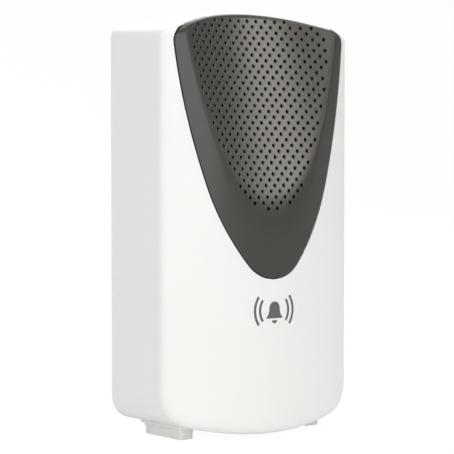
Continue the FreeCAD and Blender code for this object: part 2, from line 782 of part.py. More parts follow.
FOOT_X = "(Size.foot_spacing / 2)"
FOOT_START = f"({SIDE_FRONT} + Size.foot_setback)"
FOOT_END = f"({FOOT_START} + Size.foot_length)"
FOOT_ROOT = ("(Size.underside_gap + Size.bottom_arch_radius"
             f" - sqrt(Size.bottom_arch_radius * Size.bottom_arch_radius - {FOOT_X} * {FOOT_X}))")
feet = []
for side, sign in (("right", ""), ("left", "-")):
    profile = new_sketch(f"foot_{side}_profile", "yz", f"({sign}{FOOT_X})")
    flare = "Size.foot_flare"
    draw(profile, [
        (FOOT_START, "0"), (FOOT_END, "0"),
        (FOOT_END, f"{FOOT_ROOT} - {flare}", f"-{flare}"), (f"{FOOT_END} + {flare}", FOOT_ROOT),
        (f"{FOOT_END} + {flare}", f"{FOOT_ROOT} + Size.wall / 2"),
        (f"{FOOT_START} - {flare}", f"{FOOT_ROOT} + Size.wall / 2"),
        (f"{FOOT_START} - {flare}", FOOT_ROOT, f"-{flare}"), (FOOT_START, f"{FOOT_ROOT} - {flare}"),
    ])
    feet.append(slab(f"foot_{side}", profile, "Size.foot_width / 2", Vector(1, 0, 0), "Size.foot_width / 2"))

# Openings for the melody button and the volume slider
button_opening = rod("button_opening", "Size.button_radius + Size.control_gap", "Size.wall + 4",
                     f"{SIDE_INNER} - 2", CONTROL_Y, "Size.button_height", "x")
SLOT_HALF = "(Size.slider_nub_height / 2 + Size.slider_travel + Size.control_gap)"
slider_opening = box("slider_opening", (f"{SIDE_INNER} - 2", f"{HALF_WIDTH} + 2"),
                     (f"{CONTROL_Y} - Size.slider_nub_width / 2 - Size.control_gap",
                      f"{CONTROL_Y} + Size.slider_nub_width / 2 + Size.control_gap"),
                     (f"Size.slider_height - {SLOT_HALF}", f"Size.slider_height + {SLOT_HALF}"))
hollow_front = fuse("cover_whole", cut("cover_open", shell, opening), posts_inside, *feet)
front_cover = keep(cut("front_cover", hollow_front, button_opening, slider_opening, *pilots), "front_cover")

# Rear cover: a plate that fills the case's back, with screw wells, hangers and the battery case
PLATE_EDGE = "(Size.wall + Size.joint_gap)"
plate_outline = outline("plate_outline", BACK, PLATE_EDGE, "0")
plate = slab("plate", plate_outline, "Size.wall", Vector(0, -1, 0))
CELL_PITCH = "(Size.cell_diameter + Size.cell_gap)"
CASE_HALF = f"(1.5 * {CELL_PITCH} + Size.cell_gap / 2)"
CASE_LOW = f"(Size.middle_cell_height - {CASE_HALF})"
CASE_HIGH = f"(Size.middle_cell_height + {CASE_HALF})"
DOOR_FRONT = f"({BACK} - Size.door_thickness)"
CELL_Y = f"({DOOR_FRONT} - Size.cell_play - Size.cell_diameter / 2)"
CASE_FLOOR = f"({CELL_Y} - Size.cell_diameter / 2 - Size.cell_play)"
DOOR_HALF = "(Size.case_half_length + Size.door_margin)"
DOOR_LOW = f"({CASE_LOW} - Size.door_margin)"
DOOR_HIGH = f"({CASE_HIGH} + Size.door_margin)"
GAP = "Size.joint_gap"
case_block = box("case_block",
                 ("-(Size.case_half_length + Size.case_wall)", "Size.case_half_length + Size.case_wall"),
                 (f"{CASE_FLOOR} - Size.case_wall", f"{PLATE_FRONT} + 0.5"),
                 (f"{CASE_LOW} - Size.case_wall", f"{CASE_HIGH} + Size.case_wall"))
case_hollow = box("case_hollow", ("-Size.case_half_length", "Size.case_half_length"),
                  (CASE_FLOOR, f"{BACK} + 1"), (CASE_LOW, CASE_HIGH))
door_hole = box("door_hole", (f"-({DOOR_HALF} + {GAP})", f"{DOOR_HALF} + {GAP}"),
                (f"{DOOR_FRONT} - 0.1", f"{BACK} + 1"), (f"{DOOR_LOW} - {GAP}", f"{DOOR_HIGH} + {GAP}"))
HINGE_Y = f"({BACK} - Size.door_thickness / 2)"
HINGE_Z = f"({DOOR_LOW} + Size.door_nose)"
hinge_hole = rod("hinge_hole", "(Size.hinge_pin_radius + Size.hinge_gap) / cos(22.5)",
                 f"2 * ({DOOR_HALF} + Size.hinge_pin_length + {GAP})",
                 f"-({DOOR_HALF} + Size.hinge_pin_length + {GAP})", HINGE_Y, HINGE_Z, "x", BOSS_SIDES)
pads = []
wells = []
for place, x, z in BOSS_PLACES:
    pads.append(rod(f"pad_{place}", "Size.screw_pad_radius", f"{PLATE_FRONT} - {BOSS_END} + 0.5", x,
                    f"{BOSS_END} + 0.05", z, "y", BOSS_SIDES))
    wells.append(rod(f"well_{place}", "Size.screw_well_radius", "Size.screw_well_depth + 1", x,
                     f"{BACK} - Size.screw_well_depth", z, "y", HEAD_SIDES))
    wells.append(rod(f"screw_hole_{place}", "Size.screw_hole_radius", "Size.screw_pad_depth + 2", x,
                     f"{BOSS_END} - 1", z, "y", BORE_SIDES))
hangers = []
for side, sign in (("right", ""), ("left", "-")):
    hanger_x = f"({sign}Size.hanger_spacing / 2)"
    hangers.append(rod(f"hanger_{side}", "Size.hanger_hole_radius", "Size.wall + 2", hanger_x,
                       f"{PLATE_FRONT} - 1", "Size.hanger_height", "y"))
    hangers.append(box(f"hanger_slot_{side}", (f"{hanger_x} - Size.hanger_slot_radius",
                                               f"{hanger_x} + Size.hanger_slot_radius"),
                       (f"{PLATE_FRONT} - 1", f"{BACK} + 1"),
                       ("Size.hanger_height", "Size.hanger_height + Size.hanger_slot_rise")))
    hangers.append(rod(f"hanger_end_{side}", "Size.hanger_slot_radius", "Size.wall + 2", hanger_x,
                       f"{PLATE_FRONT} - 1", "Size.hanger_height + Size.hanger_slot_rise", "y"))
pads_inside = common("pads_inside", fuse("pads_all", *pads), hollow)
rear_cover = keep(cut("rear_cover", fuse("rear_whole", plate, case_block, pads_inside),
                      case_hollow, door_hole, hinge_hole, *wells, *hangers), "rear_cover")

# Battery door: swings down on two moulded pins, with a sprung latch cut out of its upper edge
door_leaf = box("door_leaf", (f"-{DOOR_HALF}", DOOR_HALF), (DOOR_FRONT, BACK), (HINGE_Z, DOOR_HIGH))
door_nose = rod("door_nose", "Size.door_thickness / 2", f"2 * {DOOR_HALF}", f"-{DOOR_HALF}",
                HINGE_Y, HINGE_Z, "x")
door_pins = rod("door_pins", "Size.hinge_pin_radius", f"2 * ({DOOR_HALF} + Size.hinge_pin_length)",
                f"-({DOOR_HALF} + Size.hinge_pin_length)", HINGE_Y, HINGE_Z, "x", BOSS_SIDES)
slits = [box(f"latch_slit_{side}", (f"{x} - Size.latch_slit / 2", f"{x} + Size.latch_slit / 2"),
             (f"{DOOR_FRONT} - 1", f"{BACK} + 1"), (f"{DOOR_HIGH} - Size.latch_length", f"{DOOR_HIGH} + 1"))
         for side, x in (("right", "(Size.latch_width / 2)"), ("left", "(-Size.latch_width / 2)"))]
DIP_LENGTH = "(Size.latch_width - 3 * Size.latch_slit)"
thumb_dip = rod("thumb_dip", "Size.thumb_dip_radius", DIP_LENGTH, f"-{DIP_LENGTH} / 2",
                f"{BACK} + Size.thumb_dip_radius - Size.thumb_dip_depth",
                f"{DOOR_HIGH} - Size.thumb_dip_inset", "x")
door_whole = fuse("door_whole", door_leaf, door_nose, door_pins)
battery_door = keep(cut("battery_door", door_whole, *slits, thumb_dip), "battery_door")


# Screws
def screw(name, x, y, z, length):
    """Pan head screw that is driven along -Y, its head's seat at y."""
    head = rod(name + "_head", "Size.screw_head_radius", "Size.screw_head_height", x, y, z, "y", HEAD_SIDES)
    shaft = rod(name + "_shaft", "Size.screw_shaft_radius", f"{length} + 0.2", x, f"{y} - {length}", z, "y",
                BORE_SIDES)
    return fuse(name, head, shaft)


WELL_FLOOR = f"({BACK} - Size.screw_well_depth)"
cover_screws = keep(group("cover_screws", *[
    screw(f"cover_screw_{place}", x, WELL_FLOOR, z, "Size.cover_screw_length") for place, x, z in BOSS_PLACES
]), "cover_screws")
board_screws = keep(group("board_screws", *[
    screw(f"board_screw_{place}", x, BOARD_BACK, z, "Size.board_screw_length") for place, x, z in POST_PLACES
]), "board_screws")

# Cells: the upper and lower point one way along X, the middle one the other
CELL_BODY = "(Size.cell_length - Size.cell_nub_length)"
CELLS = [("upper", 1, f"(Size.middle_cell_height + {CELL_PITCH})"), ("middle", -1, "Size.middle_cell_height"),
         ("lower", 1, f"(Size.middle_cell_height - {CELL_PITCH})")]
for place, sign, z in CELLS:
    centre = f"({sign} * Size.cell_shift)"
    can = rod(f"cell_can_{place}", "Size.cell_diameter / 2", CELL_BODY, f"{centre} - {CELL_BODY} / 2", CELL_Y,
              z, "x")
    nub = rod(f"cell_nub_{place}", "Size.cell_nub_radius", f"{CELL_BODY} / 2 + Size.cell_nub_length",
              centre if sign > 0 else f"{centre} - {CELL_BODY} / 2 - Size.cell_nub_length", CELL_Y, z, "x",
              HEAD_SIDES)
    keep(fuse(f"cell_{place}", can, nub), f"battery_cell_{place}")

# Contacts: plates on the case's end walls, with a bowed leaf for each cell's base and a stud for its nub
CELL_BASE = f"({CELL_BODY} / 2 - Size.cell_shift)"
CELL_TIP = f"({CELL_BODY} / 2 + Size.cell_nub_length + Size.cell_shift)"
PLATE_FACE = "(Size.case_half_length - Size.contact_thickness)"
LEAF_REACH = f"({PLATE_FACE} - {CELL_BASE} - Size.leaf_play)"


def contact(name, sign, low, high):
    ends = sorted([f"{sign} * {PLATE_FACE}", f"{sign} * (Size.case_half_length - 0.02)"], key=value)
    return box(name, ends, (f"{CELL_Y} - Size.contact_width / 2", f"{CELL_Y} + Size.contact_width / 2"),
               (f"{low} - Size.contact_height / 2", f"{high} + Size.contact_height / 2"))


def leaf(name, sign, z):
    """Bowed strip: a slice of a tube, standing off the plate towards the cell's base."""
    centre = f"{sign} * ({PLATE_FACE} - {LEAF_REACH} + Size.leaf_radius)"
    start = f"{CELL_Y} - Size.leaf_width / 2"
    outside = rod(name + "_outside", "Size.leaf_radius", "Size.leaf_width", centre, start, z, "y")
    inside = rod(name + "_inside", "Size.leaf_radius - Size.leaf_thickness", "Size.leaf_width + 2", centre,
                 f"{start} - 1", z, "y")
    tube = cut(name + "_tube", outside, inside)
    ends = sorted([f"{sign} * ({PLATE_FACE} + Size.contact_thickness / 2)", f"{sign} * ({CELL_BASE} - 1)"],
                  key=value)
    return common(name, tube, box(name + "_slice", ends, (f"{start} - 1", f"{start} + Size.leaf_width + 1"),
                                  (f"{z} - Size.leaf_radius - 1", f"{z} + Size.leaf_radius + 1")))


def stud(name, sign, z):
    start = sorted([f"{sign} * {PLATE_FACE}", f"{sign} * ({CELL_TIP} + Size.leaf_play)"], key=value)[0]
    return rod(name, "Size.dimple_radius", f"{PLATE_FACE} - {CELL_TIP} - Size.leaf_play", start, CELL_Y, z, "x",
               BOSS_SIDES)


UPPER, MIDDLE, LOWER = (z for _, _, z in CELLS)
keep(fuse("contact_positive", contact("positive_plate", "1", UPPER, UPPER), stud("positive_stud", "1", UPPER)),
     "contact_positive")
keep(fuse("contact_negative", contact("negative_plate", "-1", LOWER, LOWER),
          leaf("negative_leaf", "-1", LOWER)), "contact_negative")
keep(fuse("contact_bridge_left", contact("bridge_left_plate", "-1", MIDDLE, UPPER),
          leaf("bridge_left_leaf", "-1", UPPER), stud("bridge_left_stud", "-1", MIDDLE)), "contact_bridge_left")
keep(fuse("contact_bridge_right", contact("bridge_right_plate", "1", LOWER, MIDDLE),
          leaf("bridge_right_leaf", "1", MIDDLE), stud("bridge_right_stud", "1", LOWER)),
     "contact_bridge_right")

# Circuit board and what is soldered to it
board_blank = box("board_blank", ("-Size.board_half_width", "Size.board_half_width"), (BOARD_FRONT, BOARD_BACK),
                  ("Size.board_foot", "Size.board_top"))
board_holes = [rod(f"board_hole_{place}", "Size.screw_hole_radius", "Size.board_thickness + 2", x,
                   f"{BOARD_FRONT} - 1", z, "y", BORE_SIDES) for place, x, z in POST_PLACES]
circuit_board = keep(cut("circuit_board", board_blank, *board_holes), "circuit_board")


def chip(name, x, z, legs):
    """Small outline chip on the board's front, its legs along both long sides."""
    half_length, half_width = f"{legs} * Size.chip_leg_pitch / 2", "Size.chip_width / 2"
    body = box(name + "_body", (f"{x} - {half_length}", f"{x} + {half_length}"),
               (f"{BOARD_FRONT} - Size.chip_height", f"{BOARD_FRONT} - Size.chip_standoff"),
               (f"{z} - {half_width}", f"{z} + {half_width}"))
    pieces = [body]
    for n in range(legs):
        leg_x = f"({x} + ({n} - {(legs - 1) / 2}) * Size.chip_leg_pitch)"
        pieces.append(box(
            f"{name}_leg_{n}", (f"{leg_x} - Size.chip_leg_width / 2", f"{leg_x} + Size.chip_leg_width / 2"),
            (f"{BOARD_FRONT} - Size.chip_leg_thickness", BOARD_FRONT),
            (f"{z} - {half_width} - Size.chip_leg_reach", f"{z} + {half_width} + Size.chip_leg_reach")))
    return fuse(name, *pieces)


keep(chip("controller_chip", "Size.controller_x", "Size.controller_height", 8), "controller_chip")
keep(chip("amplifier_chip", "Size.amplifier_x", "Size.amplifier_height", 4), "amplifier_chip")

capacitors = [
    rod(f"capacitor_{n}", "Size.capacitor_radius", "Size.capacitor_height", "Size.capacitor_x",
        f"{BOARD_FRONT} - Size.capacitor_height", f"(Size.capacitor_foot + {n} * Size.capacitor_pitch)", "y",
        HEAD_SIDES)
    for n in range(3)
]
keep(group("capacitors", *capacitors), "capacitors")

CRYSTAL_Z = "(Size.controller_height + Size.crystal_above_chip)"
CRYSTAL_END = "(Size.controller_x + (Size.crystal_length - Size.crystal_width) / 2)"
CRYSTAL_START = "(Size.controller_x - (Size.crystal_length - Size.crystal_width) / 2)"
crystal_end = [rod(f"crystal_{n}", "Size.crystal_width / 2", "Size.crystal_height", x,
                   f"{BOARD_FRONT} - Size.crystal_height", CRYSTAL_Z, "y", HEAD_SIDES)
               for n, x in enumerate((CRYSTAL_START, CRYSTAL_END))]
crystal_middle = box("crystal_middle", (CRYSTAL_START, CRYSTAL_END),
                     (f"{BOARD_FRONT} - Size.crystal_height", BOARD_FRONT),
                     (f"{CRYSTAL_Z} - Size.crystal_width / 2", f"{CRYSTAL_Z} + Size.crystal_width / 2"))
keep(fuse("crystal", crystal_middle, *crystal_end), "crystal")

RADIO_X, RADIO_Z = "Size.radio_x", "Size.radio_centre_height"
keep(box("radio_board", (f"{RADIO_X} - Size.radio_width / 2", f"{RADIO_X} + Size.radio_width / 2"),
         (f"{BOARD_FRONT} - Size.radio_thickness", BOARD_FRONT),
         (f"{RADIO_Z} - Size.radio_height / 2", f"{RADIO_Z} + Size.radio_height / 2")), "radio_board")
RADIO_FACE = f"({BOARD_FRONT} - Size.radio_thickness)"
keep(box("radio_shield", (f"{RADIO_X} - Size.shield_can_width / 2", f"{RADIO_X} + Size.shield_can_width / 2"),
         (f"{RADIO_FACE} - Size.shield_can_depth", RADIO_FACE),
         (f"{RADIO_Z} - Size.shield_can_height / 2", f"{RADIO_Z} + Size.shield_can_height / 2")),
     "radio_shield")
ANTENNA_Z = f"({RADIO_Z} + Size.radio_height / 2 - 2 * Size.antenna_inset)"
ANTENNA_X = f"({RADIO_X} - Size.radio_width / 2 + Size.antenna_inset)"
ANTENNA_Y = f"({RADIO_FACE} - Size.antenna_standoff)"
antenna_foot = rod("antenna_foot", "Size.antenna_radius", "Size.antenna_standoff", ANTENNA_X, ANTENNA_Y,
                   ANTENNA_Z, "y", BORE_SIDES)
antenna_wire = rod("antenna_wire", "Size.antenna_radius", "Size.antenna_rise", ANTENNA_X, ANTENNA_Y, ANTENNA_Z,
                   sides=BORE_SIDES)
keep(fuse("antenna", antenna_foot, antenna_wire), "antenna")


def socket(name, x):
    """Two pole wire socket that stands on the board's back."""
    z = "Size.socket_centre_height"
    block = box(name + "_block", (f"{x} - Size.socket_width / 2", f"{x} + Size.socket_width / 2"),
                (BOARD_BACK, f"{BOARD_BACK} + Size.socket_depth"),
                (f"{z} - Size.socket_height / 2", f"{z} + Size.socket_height / 2"))
    half = "(Size.socket_width / 2 - Size.socket_wall)"
    mouth = box(name + "_mouth", (f"{x} - {half}", f"{x} + {half}"),
                (f"{BOARD_BACK} + Size.socket_wall", f"{BOARD_BACK} + Size.socket_depth + 1"),
                (f"{z} - Size.socket_height / 2 + Size.socket_wall",
                 f"{z} + Size.socket_height / 2 - Size.socket_wall"))
    return cut(name, block, mouth)


keep(socket("speaker_socket", "(Size.socket_spacing / 2)"), "speaker_socket")
keep(socket("battery_socket", "(-Size.socket_spacing / 2)"), "battery_socket")

# Melody button, pressed against a switch at the board's edge
SWITCH_FACE = "(Size.board_half_width - Size.switch_inset)"
SWITCH_Y = (BOARD_BACK, f"{BOARD_BACK} + Size.switch_depth")
switch_block = box("melody_switch_block", (f"{SWITCH_FACE} - Size.switch_length", SWITCH_FACE), SWITCH_Y,
                   ("Size.button_height - Size.switch_height / 2",
                    "Size.button_height + Size.switch_height / 2"))
PLUNGER_BACK = f"({SWITCH_FACE} - Size.button_travel - Size.plunger_seat)"
plunger_bore = rod("plunger_bore", "Size.plunger_radius + Size.plunger_play", "Size.switch_length + 1",
                   f"{PLUNGER_BACK} - Size.button_travel - Size.joint_gap", CONTROL_Y, "Size.button_height", "x",
                   BOSS_SIDES)
keep(cut("melody_switch", switch_block, plunger_bore), "melody_switch")
BUTTON_BACK = f"({SWITCH_FACE} + Size.plunger_proud)"
keep(rod("melody_plunger", "Size.plunger_radius", f"{BUTTON_BACK} - {PLUNGER_BACK}", PLUNGER_BACK, CONTROL_Y,
         "Size.button_height", "x", BOSS_SIDES), "melody_plunger")
button_cap = rod("button_cap", "Size.button_radius", f"{HALF_WIDTH} + Size.button_proud - {BUTTON_BACK}",
                 BUTTON_BACK, CONTROL_Y, "Size.button_height", "x")
button_flange = rod("button_flange", "Size.button_flange_radius", "Size.button_flange_thickness",
                    f"{SIDE_INNER} - {GAP} - Size.button_flange_thickness", CONTROL_Y, "Size.button_height",
                    "x", HEAD_SIDES)
keep(fuse("melody_button", button_cap, button_flange), "melody_button")

# Volume slider, which carries the lever of a slide switch
slide_block = box("volume_switch_block", (f"{SWITCH_FACE} - Size.switch_length", SWITCH_FACE), SWITCH_Y,
                  ("Size.slider_height - Size.slide_switch_height / 2",
                   "Size.slider_height + Size.slide_switch_height / 2"))
LEVER_BACK = f"({SWITCH_FACE} - Size.lever_reach)"
lever_room = f"(Size.lever_height / 2 + Size.slider_travel + {GAP})"
lever_slot = box("lever_slot", (f"{LEVER_BACK} - {GAP}", f"{SWITCH_FACE} + 1"),
                 (f"{CONTROL_Y} - Size.lever_width / 2 - Size.plunger_play",
                  f"{CONTROL_Y} + Size.lever_width / 2 + Size.plunger_play"),
                 (f"Size.slider_height - {lever_room}", f"Size.slider_height + {lever_room}"))
keep(cut("volume_switch", slide_block, lever_slot), "volume_switch")
SLIDER_BACK = f"({SIDE_INNER} - {GAP} - Size.slider_plate_thickness)"
keep(box("volume_lever", (LEVER_BACK, SLIDER_BACK),
         (f"{CONTROL_Y} - Size.lever_width / 2", f"{CONTROL_Y} + Size.lever_width / 2"),
         ("Size.slider_height - Size.lever_height / 2", "Size.slider_height + Size.lever_height / 2")),
     "volume_lever")
slider_plate = box("slider_plate", (SLIDER_BACK, f"{SLIDER_BACK} + Size.slider_plate_thickness"),
                   (f"{CONTROL_Y} - Size.slider_plate_width / 2",
                    f"{CONTROL_Y} + Size.slider_plate_width / 2"),
                   ("Size.slider_height - Size.slider_plate_height / 2",
                    "Size.slider_height + Size.slider_plate_height / 2"))
slider_nub = box("slider_nub",
                 (f"{SLIDER_BACK} + Size.slider_plate_thickness / 2", f"{HALF_WIDTH} + Size.slider_proud"),
                 (f"{CONTROL_Y} - Size.slider_nub_width / 2", f"{CONTROL_Y} + Size.slider_nub_width / 2"),
                 ("Size.slider_height - Size.slider_nub_height / 2",
                  "Size.slider_height + Size.slider_nub_height / 2"))
keep(fuse("volume_slider", slider_plate, slider_nub), "volume_slider")


# Loudspeaker: turned pieces on one leaning axis. Outlines give radius and distance back from the dish.
def turned(name, corners):
    body = doc.addObject("PartDesign::Body", name)
    profile = new_sketch(name + "_profile", "xz", body=body)
    draw(profile, corners)
    turn = body.newObject("PartDesign::Revolution", name + "_turn")
    turn.Profile = profile
    turn.ReferenceAxis = (profile, ["V_Axis"])
    turn.Angle = 360
    tilt(body, "0", "0", "0")
    return keep(body, name)


BASKET_BASE = f"({FLANGE_FACE} + Size.basket_depth)"
TOP_PLATE = BASKET_BASE
MAGNET = f"({TOP_PLATE} + Size.top_plate_thickness)"
YOKE = f"({MAGNET} + Size.magnet_thickness)"
YOKE_BACK = f"({YOKE} + Size.yoke_thickness)"
SKIN = "Size.basket_thickness"


def ring(name, inner, outer, start, end):
    """Flat ring of the speaker, with flat sides: none of these can be seen."""
    disc = leaning_rod(name + "_disc", outer, f"{end} - ({start})", "0", "0", start, RING_SIDES)
    bore = leaning_rod(name + "_bore", inner, f"{end} - ({start}) + 2", "0", "0", f"{start} - 1", RING_SIDES)
    return keep(cut(name, disc, bore), name)


ring("speaker_gasket", "(Size.basket_mouth_radius + Size.gasket_margin)", "Size.speaker_radius",
     "Size.collar_length", FLANGE_FACE)
LAND = "(Size.basket_mouth_radius + Size.basket_land)"
LAND_BACK = f"({FLANGE_FACE} + Size.basket_flange / 2)"


def flat_ring(name, inner, outer, start, end):
    disc = rod(name + "_disc", outer, f"{end} - ({start})", z=start, sides=RING_SIDES)
    bore = rod(name + "_bore", inner, f"{end} - ({start}) + 2", z=f"{start} - 1", sides=RING_SIDES)
    return cut(name, disc, bore)


def basket_leg(name, plane, sign):
    """Sloping leg between the basket's flange and its base, one of four."""
    profile = new_sketch(name + "_profile", plane)
    draw(profile, [
        (f"{sign}({LAND} - Size.basket_thickness)", f"{FLANGE_BACK} - 0.1"),
        (f"{sign}{LAND}", f"{FLANGE_BACK} - 0.1"),
        (f"{sign}(Size.basket_base_radius + Size.basket_thickness)", BASKET_BASE),
        (f"{sign}Size.basket_base_radius", f"{BASKET_BASE} - {SKIN}"),
    ])
    across = Vector(0, 1, 0) if plane == "xz" else Vector(1, 0, 0)
    return slab(name, profile, "Size.basket_leg_width / 2", across, "Size.basket_leg_width / 2")


legs = [basket_leg(f"leg_{plane}_{side}", plane, sign) for plane in ("xz", "yz")
        for side, sign in (("far", ""), ("near", "-"))]
basket = fuse(
    "basket",
    flat_ring("basket_rim", LAND, "Size.speaker_radius", FLANGE_FACE, FLANGE_BACK),
    flat_ring("basket_seat", "Size.basket_mouth_radius", f"{LAND} + 0.5", LAND_BACK, FLANGE_BACK),
    flat_ring("basket_base", "Size.gap_outer_radius", f"Size.basket_base_radius + {SKIN}",
              f"{BASKET_BASE} - {SKIN}", BASKET_BASE),
    *legs)
keep(tilt(group("speaker_frame", basket), "0", "0", "0"), "speaker_frame")
ring("speaker_top_plate", "Size.gap_outer_radius", "Size.top_plate_radius", TOP_PLATE, MAGNET)
ring("speaker_magnet", "Size.magnet_bore_radius", "Size.magnet_radius", MAGNET, YOKE)
pole = leaning_rod("pole", "Size.pole_radius", f"{YOKE} - {TOP_PLATE} + 0.1", "0", "0", TOP_PLATE, RING_SIDES)
yoke_plate = leaning_rod("yoke_plate", "Size.top_plate_radius", "Size.yoke_thickness", "0", "0", YOKE,
                         RING_SIDES)
keep(fuse("speaker_yoke", pole, yoke_plate), "speaker_yoke")
NECK = f"({BASKET_BASE} - Size.neck_rise)"
CONE_FRONT = f"({NECK} - Size.cone_depth)"
OUTER_FORMER = "(Size.former_radius + Size.former_thickness)"
COIL_RADIUS = f"({OUTER_FORMER} + Size.coil_thickness)"
COIL_FRONT = f"({TOP_PLATE} - Size.coil_overhang)"
FORMER_LENGTH = f"({COIL_FRONT} - {NECK} + Size.coil_length)"
former_bore = leaning_rod("former_bore", "Size.former_radius", f"{FORMER_LENGTH} + 2", "0", "0", f"{NECK} - 1",
                          RING_SIDES)
former = cut("former", leaning_rod("former_outside", OUTER_FORMER, FORMER_LENGTH, "0", "0", NECK, RING_SIDES),
             former_bore)
coil = cut("coil", leaning_rod("coil_outside", COIL_RADIUS, "Size.coil_length", "0", "0", COIL_FRONT,
                               RING_SIDES), former_bore)
keep(fuse("voice_coil", former, coil), "voice_coil")
turned("speaker_cone", [
    (OUTER_FORMER, NECK), (OUTER_FORMER, f"{NECK} - Size.paper_thickness"),
    ("Size.cone_outer_radius", f"{CONE_FRONT} - Size.paper_thickness"),
    ("Size.cone_outer_radius", CONE_FRONT),
])
cap = doc.addObject("Part::Cone", "dust_cap")
bind(cap, Radius1="Size.former_radius - Size.cap_slope", Radius2=f"{OUTER_FORMER} - Size.cap_play",
     Height="Size.cap_rise")
keep(tilt(cap, "0", "0", f"{NECK} - Size.cap_seat - Size.cap_rise"), "speaker_dust_cap")
ring("speaker_surround", "(Size.cone_outer_radius + Size.surround_gap) / cos(180 / 12)", LAND,
     f"{LAND_BACK} - Size.surround_thickness", LAND_BACK)
ring("speaker_spider", f"({COIL_RADIUS} + Size.surround_gap)", "Size.basket_base_radius",
     f"{BASKET_BASE} - {SKIN} - Size.surround_thickness", f"{BASKET_BASE} - {SKIN}")

# Lug that carries the speaker's two solder tags, on the basket's rim beside its upper leg
lug = doc.addObject("Part::Box", "terminal_lug")
bind(lug, Length="Size.terminal_width", Width="Size.terminal_height", Height="Size.terminal_thickness")
keep(tilt(lug, f"Size.basket_leg_width / 2 + {GAP}", LAND, FLANGE_BACK), "speaker_terminals")


def ring_of(name, piece):
    """The same piece at each of the speaker's screws."""
    pieces = [piece(f"{name}_{n}", across, up) for n, (across, up) in enumerate(SPEAKER_SCREWS)]
    return keep(group(name, *pieces), name)


def speaker_washer(name, across, up):
    disc = leaning_rod(name + "_disc", "Size.washer_radius", "Size.washer_thickness", across, up, FLANGE_BACK,
                       HEAD_SIDES)
    hole = leaning_rod(name + "_hole", "Size.screw_hole_radius", "Size.washer_thickness + 2", across, up,
                       f"{FLANGE_BACK} - 1", BORE_SIDES)
    return cut(name, disc, hole)


def speaker_screw(name, across, up):
    seat = f"({FLANGE_BACK} + Size.washer_thickness)"
    head = leaning_rod(name + "_head", "Size.screw_head_radius", "Size.screw_head_height", across, up, seat,
                       HEAD_SIDES)
    shaft = leaning_rod(name + "_shaft", "Size.screw_shaft_radius", "Size.speaker_screw_length + 0.2", across,
                        up, f"{seat} - Size.speaker_screw_length", BORE_SIDES)
    return fuse(name, head, shaft)


ring_of("speaker_washers", speaker_washer)
ring_of("speaker_screws", speaker_screw)

doc.recompute()
failed = [thing.Label for thing in doc.Objects if {"Invalid", "Error"} & set(thing.State)]
failed += [node for node, thing in parts.items() if thing.Shape.isNull() or not thing.Shape.isValid()]
if failed:
    raise RuntimeError("These did not build: " + ", ".join(failed))
os.makedirs("parts", exist_ok=True)
for node, thing in parts.items():
    thing.Shape.exportStep(f"parts/{node}.step")
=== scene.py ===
"""Dresses the indoor chime unit of a wireless doorbell: white case, dark perforated shield, soft studio.

Metres, in the model's own frame: +Z up, the front faces -Y, X runs to the viewer's right.
"""
import json
import math

import bmesh
import bpy
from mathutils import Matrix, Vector


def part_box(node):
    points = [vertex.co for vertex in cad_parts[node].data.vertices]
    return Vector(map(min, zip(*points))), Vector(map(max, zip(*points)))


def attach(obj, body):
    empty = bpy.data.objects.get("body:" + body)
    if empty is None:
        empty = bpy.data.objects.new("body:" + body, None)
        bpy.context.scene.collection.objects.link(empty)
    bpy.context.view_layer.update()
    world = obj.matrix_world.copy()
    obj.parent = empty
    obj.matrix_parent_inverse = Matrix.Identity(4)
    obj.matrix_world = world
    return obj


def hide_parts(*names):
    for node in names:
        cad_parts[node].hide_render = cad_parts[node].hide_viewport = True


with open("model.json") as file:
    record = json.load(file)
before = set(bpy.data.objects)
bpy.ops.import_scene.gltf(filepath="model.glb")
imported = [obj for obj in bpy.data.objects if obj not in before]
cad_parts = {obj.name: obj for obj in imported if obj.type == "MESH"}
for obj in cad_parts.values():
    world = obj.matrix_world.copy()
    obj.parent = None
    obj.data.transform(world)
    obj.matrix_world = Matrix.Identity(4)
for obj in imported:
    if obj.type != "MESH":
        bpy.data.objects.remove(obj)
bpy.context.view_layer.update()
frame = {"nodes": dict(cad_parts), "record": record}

bl_info = {
    "name": "Door Chime Dresser",
    "version": (1, 0, 0),
    "blender": (4, 5, 0),
    "location": "View3D > Sidebar > Chime",
    "description": "Builds the case, grille, controls, materials and studio of a wireless door chime",
    "category": "Object",
}

MM = 0.001

# From the solids. The front stays a hair behind theirs, so that the printed sign doesn't pass it
HALF_WIDTH = -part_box("front_cover")[0].x
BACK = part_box("rear_cover")[1].y
FRONT = -BACK + 0.03 * MM

# Form of the case, of the shield in its front and of the dish (scoop) in the shield
TOP = 149.8 * MM
SIDE_FRONT = BACK - 29.4 * MM
FRONT_RADIUS = 88.0 * MM
TOP_FALL = 1.45 * MM
TOP_RADIUS = 122.0 * MM
TOP_CORNER = 3.1 * MM
BOTTOM_RADIUS = 140.0 * MM
BACK_CORNER = 8.5 * MM
FRONT_CORNER = 13.5 * MM
UNDERSIDE = 1.1 * MM
WALL = 2.2 * MM
TIP_HEIGHT = 56.0 * MM
TIP_RADIUS = 14.01 * MM
LOW_HEIGHT = 60.97 * MM
LOW_RADIUS = 83.0 * MM
MID_HEIGHT = 88.0 * MM
SIDE_RADIUS = 240.0 * MM
SHIELD_CORNER_HEIGHT = 138.5 * MM
SHIELD_CORNER = 5.2 * MM
SHELF = SIDE_FRONT - 0.2 * MM
SCOOP_HEIGHT = 118.4 * MM
SCOOP_DEPTH = 2.77 * MM
SCOOP_LEAN = math.radians(13.1)
SCOOP_OPENING = math.radians(30.0)
SCOOP_RADIUS = 86.0 * MM
RUN_OUT_HEIGHT = SCOOP_HEIGHT - 14 * MM
RUN_OUT_LENGTH = 24 * MM
GRILLE_THICKNESS = 2.2 * MM
GRILLE_DEPTH = GRILLE_THICKNESS / math.cos(SCOOP_LEAN)
CREASE = 0.9 * MM

